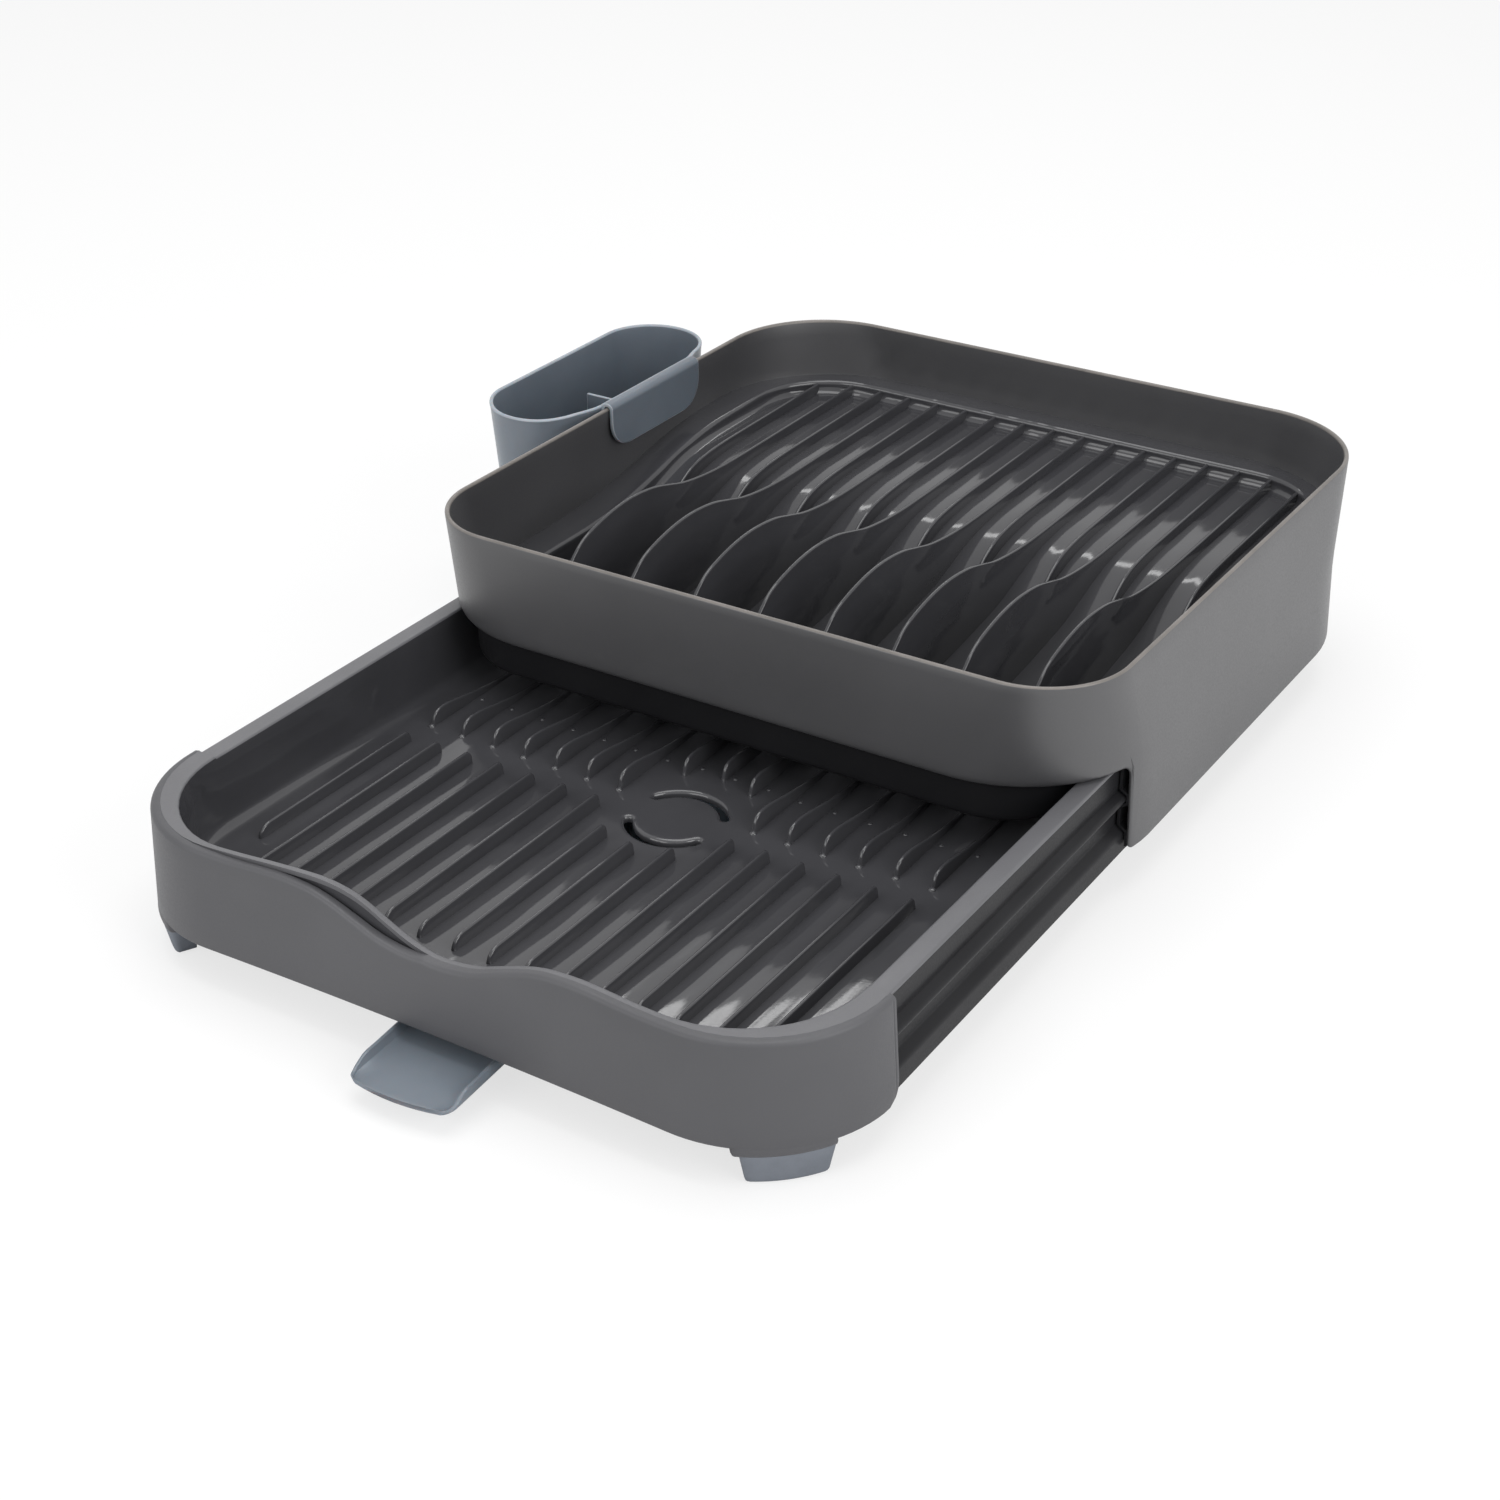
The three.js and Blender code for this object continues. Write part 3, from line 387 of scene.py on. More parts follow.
# Both sides of a sheet that follows a path
def sheetSection(line, thickness):
    sides = ([], [])
    for k, here in enumerate(line):
        ahead = (line[min(k + 1, len(line) - 1)] - line[max(k - 1, 0)]).normalized()
        out = Vector((ahead.y, -ahead.x)) * thickness / 2
        sides[0].append(here + out)
        sides[1].append(here - out)
    return [tuple(p) for p in sides[0] + sides[1][::-1]]


# Rows of ribs: one rib repeated along a line, with the outermost ribs started later and the middle ones
# kept clear of the round drain. Each step of the sums has a name, what it does, and what it works on.
ribInputs = {"Lines": "Int", "Pitch": "Float", "Middle X": "Float", "Split Y": "Float",
             "Late Start": "Float", "Drain Radius": "Float", "Drain Gap": "Float", "Drain Side": "Float",
             "Finish": "Material"}
ribSums = [("gaps", "SUBTRACT", "Lines", 1.0), ("reach", "MULTIPLY", "gaps", "Pitch"),
           ("start", "MULTIPLY", "reach", -0.5), ("across", "SUBTRACT", "x", "Middle X"),
           ("away", "ABSOLUTE", "across"), ("halfBack", "MULTIPLY", "Pitch", -0.5),
           ("halfReach", "MULTIPLY", "reach", 0.5), ("edge", "ADD", "halfReach", "halfBack"),
           ("outermost", "GREATER_THAN", "away", "edge"), ("inFront", "LESS_THAN", "y", "Split Y"),
           ("late", "MULTIPLY", "outermost", "inFront"), ("lateShift", "MULTIPLY", "late", "Late Start"),
           ("centred", "SUBTRACT", "across", "halfBack"), ("ribX", "SNAP", "centred", "Pitch"),
           ("farSquare", "MULTIPLY", "ribX", "ribX"),
           ("drainSquare", "MULTIPLY", "Drain Radius", "Drain Radius"),
           ("rest", "SUBTRACT", "drainSquare", "farSquare"), ("chordSquare", "MAXIMUM", "rest", 0.0),
           ("chord", "POWER", "chordSquare", 0.5), ("over", "SUBTRACT", "chord", "Drain Gap"),
           ("push", "MAXIMUM", "over", 0.0), ("sided", "MULTIPLY", "push", "Drain Side"),
           ("behind", "SUBTRACT", "y", "Split Y"), ("turned", "MULTIPLY", "behind", "Drain Side"),
           ("near", "LESS_THAN", "turned", 0.0), ("drainShift", "MULTIPLY", "sided", "near"),
           ("shift", "ADD", "lateShift", "drainShift")]


def makeRibRow():
    tree = bpy.data.node_groups.new("rowOfRibs", "GeometryNodeTree")
    tree.interface.new_socket("Rib", in_out="INPUT", socket_type="NodeSocketGeometry")
    for name, kind in ribInputs.items():
        tree.interface.new_socket(name, in_out="INPUT", socket_type="NodeSocket" + kind)
    tree.interface.new_socket("Ribs", in_out="OUTPUT", socket_type="NodeSocketGeometry")
    given = addNode(tree, "NodeGroupInput").outputs
    here = addNode(tree, "GeometryNodeInputPosition").outputs[0]
    parts = addNode(tree, "ShaderNodeSeparateXYZ", {0: here}).outputs
    known = {"x": parts[0], "y": parts[1], **{name: given[name] for name in ribInputs}}
    for name, operation, *terms in ribSums:
        sockets = {k: known.get(term, term) for k, term in enumerate(terms)}
        known[name] = addNode(tree, "ShaderNodeMath", sockets, operation=operation).outputs[0]

    first = addNode(tree, "ShaderNodeCombineXYZ", {"X": known["start"]}).outputs[0]
    pace = addNode(tree, "ShaderNodeCombineXYZ", {"X": given["Pitch"]}).outputs[0]
    move = addNode(tree, "ShaderNodeCombineXYZ", {"Y": known["shift"]}).outputs[0]
    line = addNode(tree, "GeometryNodeMeshLine", {"Count": given["Lines"], "Start Location": first,
                                                  "Offset": pace}, mode="OFFSET").outputs[0]
    placed = addNode(tree, "GeometryNodeInstanceOnPoints", {"Points": line, "Instance": given["Rib"]})
    loose = addNode(tree, "GeometryNodeRealizeInstances", {"Geometry": placed.outputs[0]}).outputs[0]
    moved = addNode(tree, "GeometryNodeSetPosition", {"Geometry": loose, "Offset": move}).outputs[0]
    dressed = addNode(tree, "GeometryNodeSetMaterial", {"Geometry": moved, "Material": given["Finish"]})
    addNode(tree, "NodeGroupOutput", {"Ribs": dressed.outputs[0]})
    return tree


ribRow = makeRibRow()


# One rib on the middle line: its top follows a line, its foot stands in the floor
def ribAlong(name, top, foot, width, draft, look):
    rows, half = [], width / 2
    for y, z in top:
        low = foot(y)
        shoulder = max(z - half, low + 0.05)
        row = [(-half - draft, y, low), (-half, y, shoulder)]
        row += [(-half * cos, y, shoulder + (z - shoulder) * sin)
                for cos, sin in map(onTurn, (30, 60, 90, 120, 150))]
        rows.append(row + [(half, y, shoulder), (half + draft, y, low)])
    return pieceFrom(name, skinOf(rows, capped=True), [look], crease=50)


def repeatRib(rib, look, **sizes):
    settings = {"Middle X": home.x, "Split Y": 0.0, "Late Start": 0.0, "Drain Radius": 0.0,
                "Drain Gap": 0.0, "Drain Side": 1.0, "Finish": finishes[look], **sizes}
    row = rib.modifiers.new("ribs", "NODES")
    row.node_group = ribRow
    for socket in ribRow.interface.items_tree:
        if socket.in_out == "INPUT" and socket.name in settings:
            row[socket.identifier] = settings[socket.name]
    return bake(rib)


# Bowl wall and skirt: one sheet round the rack, leaning out on its way down. Where the front's roll turns
# down into the skirt's edge, the columns of the sheet fan out.
bowl = {"rim": {"half": 177.3, "front": 224.5, "back": 567.5, "frontRadius": 42.5, "rearRadius": 58},
        "foot": {"half": 181.5, "front": 220.3, "back": 570.5, "frontRadius": 67, "rearRadius": 84},
        "top": 112, "footHeight": 61.7, "low": 20, "skirtFlare": 1.5, "wall": 2.4, "skirtFront": 271,
        "inCorner": 5, "outCorner": 3, "edge": 1.2, "frontRoll": 3.6, "frontRollIn": 1.9, "innerRoll": 0.6,
        "fan": 15, "fanReach": 60, "fanStops": (0.25, 0.85), "frontSteps": 44, "lowSteps": 70,
        "rollShares": (0, 0.03, 0.12, 0.3, 0.6, 1)}


def partLengths(plan):
    quarter = math.pi / 2
    return [plan["half"] - plan["frontRadius"], plan["frontRadius"] * quarter,
            plan["back"] - plan["rearRadius"] - plan["front"] - plan["frontRadius"],
            plan["rearRadius"] * quarter, plan["half"] - plan["rearRadius"]]


footLengths = partLengths(bowl["foot"])


# How far the wall has come from its foot to its rim at a height
def upWall(z):
    return max(0, (z - bowl["footHeight"]) / (bowl["top"] - bowl["footHeight"]))


def onWall(s, z, depth):
    part = 0
    while part < 4 and s > footLengths[part]:
        s -= footLengths[part]
        part += 1
    share = min(1, max(0, s / footLengths[part]))
    x, y, outX, outY = spot(bowl["foot"], part, share)
    rimX, rimY, _, _ = spot(bowl["rim"], part, share)
    x, y = mix(x, rimX, upWall(z)), mix(y, rimY, upWall(z))
    spread = bowl["skirtFlare"] * max(0, bowl["footHeight"] - z) / (bowl["footHeight"] - bowl["low"])
    return x + outX * (spread - depth), y + outY * (spread - depth), z


# The sheet's low edge from the front's middle to the back's: place along, height, the way into the sheet,
# and how far it has turned into the skirt's edge, for its roll and for the fan
def lowEdgeStops(frontEnd, skirtStart):
    foot, low, roll, outRoll = bowl["footHeight"], bowl["low"], bowl["inCorner"], bowl["outCorner"]
    fanIn, fanOut = bowl["fanStops"]
    edge = [(frontEnd * k / bowl["frontSteps"], foot, 0, 1, 0, 0) for k in range(bowl["frontSteps"])]
    for k in range(7):
        cos, sin = onTurn(15 * k)
        edge.append((frontEnd + roll * sin, foot - roll + roll * cos, sin, cos, k / 6, fanIn * k / 6))
    drop = foot - roll - low - outRoll
    edge += [(skirtStart, foot - roll - drop * k / 10, 1, 0, 1, mix(fanIn, fanOut, k / 10))
             for k in range(1, 11)]
    for k in range(1, 7):
        cos, sin = onTurn(15 * k)
        edge.append((skirtStart + outRoll * (1 - cos), low + outRoll * (1 - sin), cos, sin, 1,
                     mix(fanOut, 1, k / 6)))
    return edge + [(mix(skirtStart + outRoll, sum(footLengths), k / bowl["lowSteps"]), low, 0, 1, 1, 1)
                   for k in range(1, bowl["lowSteps"] + 1)]


def makeBowlWall():
    frontRadius = bowl["foot"]["frontRadius"]
    turn = math.asin((bowl["foot"]["front"] + frontRadius - bowl["skirtFront"]) / frontRadius)
    skirtStart = footLengths[0] + footLengths[1] - turn * frontRadius
    frontEnd, lowStart = skirtStart - bowl["inCorner"], skirtStart + bowl["outCorner"]
    fanLow, fanHigh = skirtStart - bowl["fanReach"], skirtStart + bowl["fanReach"]
    wall, edge, shares = bowl["wall"], bowl["edge"], bowl["rollShares"]
    columns = []
    for s, z, inS, inZ, skirtShare, fanShare in lowEdgeStops(frontEnd, skirtStart):
        top = s
        if fanShare == 0 and s > fanLow:
            top = fanLow + (s - fanLow) * (bowl["fanReach"] - bowl["fan"]) / (frontEnd - fanLow)
        elif fanShare == 1 and s < fanHigh:
            top = fanHigh - (fanHigh - s) * (bowl["fanReach"] - bowl["fan"]) / (fanHigh - lowStart)
        elif 0 < fanShare < 1:
            top = skirtStart + bowl["fan"] * (2 * fanShare - 1)
        reach = mix(bowl["frontRoll"], edge, skirtShare)
        outerIn = mix(bowl["frontRollIn"], edge, skirtShare)
        outer, inner = [], []
        for f in shares:
            spotS, spotZ = s + inS * reach * f, z + inZ * reach * f
            innerShare = min(1, f * reach / mix(bowl["innerRoll"], edge, skirtShare))
            outer.append(onWall(spotS, spotZ, outerIn * drawnIn(f)))
            inner.append(onWall(spotS, spotZ, wall - (wall - outerIn) * drawnIn(innerShare)))
        for k in range(1, 13):
            spotS = mix(s + inS * reach, top, k / 12)
            spotZ = mix(z + inZ * reach, bowl["top"] - edge, k / 12)
            outer.append(onWall(spotS, spotZ, 0))
            inner.append(onWall(spotS, spotZ, wall))
        for f in shares[-2::-1]:
            outer.append(onWall(top, bowl["top"] - edge * f, edge * drawnIn(f)))
            inner.append(onWall(top, bowl["top"] - edge * f, wall - edge * drawnIn(f)))
        columns.append(outer + inner[::-1])
    whole = columns + [[(-x, y, z) for x, y, z in column] for column in columns[-2:0:-1]]
    height = len(whole[0])
    # the faces round the rim's top get the painted highlight
    paintedHighlightRows = range(height // 2 - 5, height // 2 + 5)
    marks = [1 if j in paintedHighlightRows else 0 for column in whole for j in range(height)]
    wallPiece = pieceFrom("bowlWall", skinOf(whole, closed=True),
                          ["wornPolypropylene", "paintedEdgeHighlightPolypropylene"], marks, crease=60)
    fitPiece(wallPiece, "rack", "charcoal_satin", "rack_shell", "rack_skirt")


makeBowlWall()

# Posts inside the skirt's back that carry the rear feet, and the feet themselves. Each level says how far
# in the sides stand, the height, and the corners' radius.
post = {"x": 100, "half": 15, "front": 552.1, "back": 568.7, "footBack": 567.9,
        "levels": [(1, 20, 3), (0, 21, 3), (0, 60, 3), (2.4, 60, 2), (2.4, 22.4, 2)],
        "footLevels": [(3.2, -3.5, 4), (1.2, -3.5, 4), (0.36, -3.14, 4), (0, -2.3, 4), (-0.3, 17.6, 4),
                       (-0.3, 19, 4), (0.4, 19.6, 4), (1.2, 19.8, 4)]}


def columnOf(side, levels, back, backTaper):
    rings = []
    for inset, z, radius in levels:
        plan = {"half": post["half"] - inset, "front": post["front"] + inset,
                "back": back - inset * backTaper, "frontRadius": radius, "rearRadius": radius}
        rings.append([(x + side * post["x"], y, z) for x, y, _ in ringOf(plan, 0, z, routeRound(2, 6, 3))])
    return skinOf(rings, capped=True)


def makePosts():
    for side, name in ((-1, "left"), (1, "right")):
        carrier = columnOf(side, post["levels"], post["back"], 0)
        fitPiece(pieceFrom("rearPost" + name.capitalize(), carrier, ["erodedPolypropylene"]), "rack",
                 "charcoal_satin")
        block = columnOf(side, post["footLevels"], post["footBack"], 1)
        fitPiece(pieceFrom("rearFoot" + name.capitalize(), block, ["mouldedRubber"]), "rack", "foot_grey",
                 "foot_rear_" + name)


makePosts()
print("bowl wall, skirt and rear feet made")

# Basin in the bowl: a ledge that comes down in an S, a rolled edge and a floor that falls to the front.
# The shares are of the well's length and of each line's own rise.
basin = {"well": {"half": 159.9, "front": 229, "back": 553, "frontRadius": 38, "rearRadius": 43},
         "rearLedge": 81, "frontLedge": 64.1, "rearFloor": 74, "frontFloor": 42.6, "wall": 2.4, "roll": 2.6,
         "fillet": 4, "underFillet": 5, "underLip": 1.5, "sink": 0.5, "floorRows": 14, "ribTop": 79.5,
         "ribWidth": 1.9, "ribDraft": 0.25, "ribFoot": 1.0, "pitch": 36, "slitWidth": 3, "slitLength": 16,
         "slitMiddle": 255, "crest": 93.2, "finFront": 262}
quarterTurn = (0, 18, 36, 54, 72, 90)
floorShares = [(0, 0), (0.2, 0.16), (0.33, 0.3), (0.42, 0.42), (0.48, 0.52), (0.53, 0.67), (0.57, 0.8),
               (0.62, 0.92), (0.68, 0.98), (0.76, 1), (1, 1)]
ledgeShares = [(-0.05, 0), (0.31, 0), (0.38, 0.03), (0.44, 0.1), (0.49, 0.22), (0.54, 0.4), (0.59, 0.61),
               (0.64, 0.8), (0.69, 0.93), (0.74, 0.99), (0.79, 1), (1.07, 1)]
lowRibShares = [(0.52, -1.5), (0.545, -0.45), (0.575, 0.35), (0.61, 0.75), (0.66, 0.95), (0.74, 1), (1, 1)]
# a fin's top, its shares along counted from the fin's front, then the last two from the well's
finShares = [(0, -2.6), (0.012, -1.45), (0.033, -0.7), (0.06, -0.1), (0.09, 0.44), (0.125, 0.72),
             (0.175, 0.94), (0.225, 1), (0.28, 0.87), (0.325, 0.6), (0.365, 0.34), (0.41, 0.17),
             (0.46, 0.06), (0.52, 0.01)]
wellLength = basin["well"]["back"] - basin["well"]["front"]


def wellLine(shares, base, rise, fine=6):
    start = basin["well"]["front"]
    return smoothLine([(start + along * wellLength, base + up * rise) for along, up in shares], fine)


floorLine = wellLine(floorShares, basin["frontFloor"], basin["rearFloor"] - basin["frontFloor"])
ledgeLine = wellLine(ledgeShares, basin["frontLedge"], basin["rearLedge"] - basin["frontLedge"])


def floorAt(x, y):
    return heightOn(floorLine, y)


def ledgeAt(x, y):
    return heightOn(ledgeLine, y)


# The ledge's outer edge, sunk a little into the bowl's wall
def ledgeOutside(route, drop):
    ring, inset = [], bowl["wall"] - basin["sink"]
    for part, share in route:
        x, y, outX, outY = spot(bowl["foot"], part, share)
        rimX, rimY, _, _ = spot(bowl["rim"], part, share)
        z = ledgeAt(x, y) - drop
        ring.append((mix(x, rimX, upWall(z)) - outX * inset, mix(y, rimY, upWall(z)) - outY * inset, z))
    return mirrored(ring)


def makeBasin():
    well, wall, roll, fillet = basin["well"], basin["wall"], basin["roll"], basin["fillet"]
    under, lip, route = basin["underFillet"], basin["underLip"], routeRound(basin["floorRows"], 12, 70)
    rings = []

    def around(grow, height):
        rings.append(ringOf(well, grow, height, route))
    for cos, sin in map(onTurn, (90, 68, 45, 22, 0)):
        around(wall - under * (1 - cos), lambda x, y: floorAt(x, y) - wall + under * (1 - sin))
    around(wall, lambda x, y: ledgeAt(x, y) - wall - lip)
    around(wall + lip, lambda x, y: ledgeAt(x, y) - wall)
    underRows = len(rings)
    rings += [ledgeOutside(route, wall), ledgeOutside(route, 0)]
    for cos, sin in map(onTurn, quarterTurn):
        around(roll * (1 - sin), lambda x, y: ledgeAt(x, y) - roll * (1 - cos))
    for share in (0.35, 0.7):
        around(0, lambda x, y: mix(ledgeAt(x, y) - roll, floorAt(x, y) + fillet, share))
    for cos, sin in map(onTurn, quarterTurn):
        around(-fillet * (1 - cos), lambda x, y: floorAt(x, y) + fillet * (1 - sin))
    points, faces = floorBoth(rings, basin["floorRows"], floorAt, lambda x, y: floorAt(x, y) - wall)
    size = len(rings[0])
    sides = (len(rings) - 1) * size
    # the underside rows and the floor's underside get the painted shade
    marks = [1 if k // size < underRows else 0 for k in range(sides)]
    marks += [0 if points[face[0]][2] > floorAt(0, points[face[0]][1]) - wall / 2 else 1
              for face in faces[sides:]]
    tub = pieceFrom("basinTub", (points, faces), ["halfPolishedPolypropylene", "paintedShadeUndersidePolypropylene"], marks,
                    crease=40)
    # slits under the low front of the floor, one between each pair of fins
    slits = [slitOutline(basin["pitch"] * line, basin["slitMiddle"], basin["slitWidth"], basin["slitLength"])
             for line in range(-4, 5)]
    carve(tub, "halfPolishedPolypropylene", slits, 30, 60)
    fitPiece(tub, "rack", "charcoal_gloss", "rack_basin")


makeBasin()


def makeWellRibs():
    def inFloor(y):
        return floorAt(0, y) - basin["ribFoot"]
    finStart = (basin["finFront"] - basin["well"]["front"]) / wellLength
    finTop = [(finStart + along, up) for along, up in finShares] + [(0.74, 0), (1, 0)]
    lowTop = wellLine(lowRibShares, basin["rearFloor"], basin["ribTop"] - basin["rearFloor"], 8)
    finTop = wellLine(finTop, basin["ribTop"], basin["crest"] - basin["ribTop"])
    for name, line, count, stands in (("lowRibs", lowTop, 9, []),
                                      ("plateFins", finTop, 8, [f"plate_fin_{k}" for k in range(1, 9)])):
        top = [(y, max(z, inFloor(y) + 0.2)) for y, z in line]
        rib = ribAlong(name, top, inFloor, basin["ribWidth"], basin["ribDraft"], "halfPolishedPolypropylene")
        row = repeatRib(rib, "halfPolishedPolypropylene", Lines=count, Pitch=basin["pitch"] * mm)
        fitPiece(row, "rack", "charcoal_gloss", *stands)


makeWellRibs()
print("basin, low ribs and fins made")

# Drain tray: a rim that follows the fascia's wave, a tall inner wall, a filleted floor dished towards the
# drain, ribs, and small round pips at the feet of the rear ribs and beside each
tray = {"rim": {"half": 173, "front": 13.1, "back": 345, "frontRadius": 56.9, "rearRadius": 38},
        "cavity": {"half": 163.4, "front": 16.3, "back": 342.6, "frontRadius": 53.7, "rearRadius": 35.6},
        "rimTop": 60.3, "rearTop": 38, "rearCut": 306.5, "floor": 24.8, "wall": 2.4, "roll": 1.3,
        "outerRoll": 1.2, "fillet": 6, "lean": 0.6, "floorRows": 60, "dish": 1.6, "dishHalf": 150,
        "dishReach": 140, "drainY": 184.5, "slotInner": 17.5, "slotOuter": 25.5, "slotHalf": 58,
        "drainRadius": 33, "lip": 2.1, "lipWall": 1.2, "lipDrop": 0.8, "ribHeight": 5.8, "ribWidth": 1.8,
        "ribDraft": 0.35, "ribFoot": 2.2, "ribs": 17, "pitch": 18, "front": 48, "lateStart": 24,
        "break": 175, "rearStart": 192, "nose": 7, "rimInset": 0.3,
        "rimStops": (0.004, 0.0062, 0.992, 0.997),
        "underside": [(-5, -2.4), (-1.2, -1.9), (1.2, -0.2), (2.4, 2.7)]}
pips = {"feet": (1.9, 1.0), "beside": (1.3, 0.55), "beforeFeet": 0.6, "aside": 4, "besideY": 225,
        "middleY": 227, "around": 14,
        "dome": [(1.0, -0.5), (0.97, 0.1), (0.8, 0.55), (0.5, 0.86), (0.2, 0.98)]}
fascia = {"low": {"half": 178.6, "front": 5.5, "back": 345, "frontRadius": 63, "rearRadius": 38},
          "top": {"half": 176, "front": 9, "back": 345, "frontRadius": 59, "rearRadius": 38},
          "endHeight": 61, "crest": 66.7, "lowEdge": 12.8, "arch": 4, "archHalf": 182.6, "wall": 3,
          "reach": 71.3, "band": 2.4, "bandDrop": 0.8, "topRoll": 2.0, "lowRoll": 1.3, "heel": 9,
          "endStops": (68.5, 69.0, 69.35, 69.7, 70.4, 70.9, 71.2, 71.3), "grooveY": 69.35, "groove": 0.4}
waveShares = [(-1.03, 0), (-0.8, 0), (-0.69, 0.05), (-0.57, 0.3), (-0.46, 0.65), (-0.36, 0.92), (-0.295, 1),
              (-0.235, 0.82), (-0.18, 0.33), (-0.12, -0.6), (-0.069, -1.35), (-0.02, -1.85), (0.024, -2.07),
              (0.08, -1.97), (0.136, -1.61), (0.19, -0.98), (0.249, -0.3), (0.29, 0.08), (0.331, 0.3),
              (0.4, 0.4), (0.463, 0.3), (0.55, 0.08), (0.64, 0), (0.8, 0), (1.03, 0)]
waveRise = fascia["crest"] - fascia["endHeight"]
waveLine = smoothLine([(across * fascia["low"]["half"], fascia["endHeight"] + up * waveRise)
                       for across, up in waveShares])


def rimAt(x, y):
    if y > tray["rearCut"]:
        return tray["rearTop"]
    return tray["rimTop"] if y > fascia["reach"] - 0.1 else heightOn(waveLine, x)


def outerRollAt(x, y):
    return 0 if y < fascia["reach"] - 0.1 else tray["outerRoll"]


def trayFloorAt(x, y):
    away = (x / tray["dishHalf"]) ** 2 + ((y - tray["drainY"]) / tray["dishReach"]) ** 2
    return tray["floor"] - tray["dish"] * max(0, 1 - away)


# The outline of a curved drain slot, behind or before the drain's centre
def slotLoop(side):
    inner, outer, half, loop = tray["slotInner"], tray["slotOuter"], tray["slotHalf"], []
    for radius, start, end in ((outer, -half, half), (inner, half, -half)):
        for cos, sin in (onTurn(90 * side + mix(start, end, k / 24)) for k in range(25)):
            loop.append((radius * cos, tray["drainY"] + radius * sin))
        endCos, endSin = onTurn(90 * side + end)
        middle, turnBy = (inner + outer) / 2, 0 if radius == outer else 180
        for cos, sin in (onTurn(90 * side + end + turnBy + 22.5 * k) for k in range(1, 8)):
            loop.append((middle * endCos + (outer - inner) / 2 * cos,
                         tray["drainY"] + middle * endSin + (outer - inner) / 2 * sin))
    return loop


def makeTrayTub():
    rim, cavity, wall, floor = tray["rim"], tray["cavity"], tray["wall"], tray["floor"]
    roll, fillet, lean = tray["roll"], tray["fillet"], tray["lean"]
    route = routeRound(tray["floorRows"], 14, 30, extra=tray["rimStops"])
    rings = [ringOf(cavity, grow, floor + lift, route) for grow, lift in tray["underside"]]

    def around(plan, grow, height):
        rings.append(ringOf(plan, grow, height, route))
    around(cavity, wall, lambda x, y: rimAt(x, y) - wall)
    around(rim, -tray["rimInset"], lambda x, y: rimAt(x, y) - wall)
    for share in (1, 0.6, 0.3, 0.1, 0):
        around(rim, lambda x, y: -outerRollAt(x, y) * drawnIn(share),
               lambda x, y: rimAt(x, y) - outerRollAt(x, y) * share)
    topRow = len(rings) - 1
    for cos, sin in map(onTurn, (0, 22, 45, 68, 90)):
        around(cavity, roll * (1 - sin), lambda x, y: rimAt(x, y) - roll * (1 - cos))
    rollRow = len(rings) - 1
    for share in (0.3, 0.65):
        around(cavity, -lean * share, lambda x, y: mix(rimAt(x, y) - roll, floor + fillet, share))
    for cos, sin in map(onTurn, range(0, 91, 15)):
        around(cavity, -lean - fillet * (1 - cos), floor + fillet * (1 - sin))
    points, faces = floorBoth(rings, tray["floorRows"], trayFloorAt, lambda x, y: trayFloorAt(x, y) - wall)
    # the rim's top rows get the painted highlight
    paintedRimRows = range(topRow - 5, rollRow - 1)
    marks = [1 if k // len(rings[0]) in paintedRimRows else 0 for k in range(len(faces))]
    tub = pieceFrom("trayTub", (points, faces), ["polishedPolypropylene", "paintedRimHighlightPolypropylene"], marks,
                    crease=40)
    loops = [slotLoop(side) for side in (-1, 1)]
    carve(tub, "polishedPolypropylene", loops, floor - 8, floor + 6)
    fitPiece(tub, "tray", "charcoal_gloss", "drain_tray", "tray_wall")

    # each slot has a wide rolled lip that turns down into the hole
    lip, lipWall, low = tray["lip"], tray["lipWall"], -wall - tray["lipDrop"]
    section = [(-0.3, -0.02)] + [(lip * sin, lip * cos - lip) for cos, sin in map(onTurn, range(0, 91, 15))]
    section += [(lip, low), (lip - lipWall, low), (lip - lipWall, -lip), (-0.3, -lip)]
    lips = []
    for loop in loops:
        rows = []
        for k, (x, y) in enumerate(loop):
            (ax, ay), (bx, by) = loop[k - 1], loop[(k + 1) % len(loop)]
            into = Vector((ay - by, bx - ax)).normalized()
            rows.append([(x + into.x * reach, y + into.y * reach, trayFloorAt(x, y) + drop)
                         for reach, drop in section])
        lips.append(skinOf(rows, closed=True))
    fitPiece(pieceFrom("drainSlotLips", joined(lips), ["polishedPolypropylene"], crease=50), "tray",
             "charcoal_gloss")


makeTrayTub()


def makePips():
    feet = [(tray["pitch"] * k, tray["rearStart"] - pips["beforeFeet"]) for k in range(-8, 9) if abs(k) > 1]
    beside = [(tray["pitch"] * k + pips["aside"], pips["besideY"] if abs(k) > 1 else pips["middleY"])
              for k in range(-8, 8)]
    circle = [onTurn(360 * k / pips["around"]) for k in range(pips["around"])]
    domes = []
    for x, y, radius, rise in [(*p, *pips["feet"]) for p in feet] + [(*p, *pips["beside"]) for p in beside]:
        floor = trayFloorAt(x, y)
        rings = [[(x + radius * share * cos, y + radius * share * sin, floor + rise * up)
                  for cos, sin in circle] for share, up in pips["dome"]]
        domes.append(skinOf(rings, capped=True))
    fitPiece(pieceFrom("trayPips", joined(domes), ["polishedPolypropylene"], crease=60), "tray",
             "charcoal_gloss")


makePips()

# the tops of the ribs, (along, up) from each rib's front end or rear end
frontRibEnd = [(-3.4, 0), (-1.6, -0.5), (-0.5, -1.6), (0, -3.2)]
rearRibLine = [(-1.4, -2.0), (-0.6, -0.6), (-0.1, 0.8), (0.4, 2.4), (1.0, 4.0), (2.0, 5.4), (3.6, 6.4),
               (6, 7.0), (9, 7.2), (13, 7.0), (18, 6.3), (25, 5.1), (33, 3.9), (42, 2.8), (52, 2.0),
               (60, 1.65), (63, 1.6)]


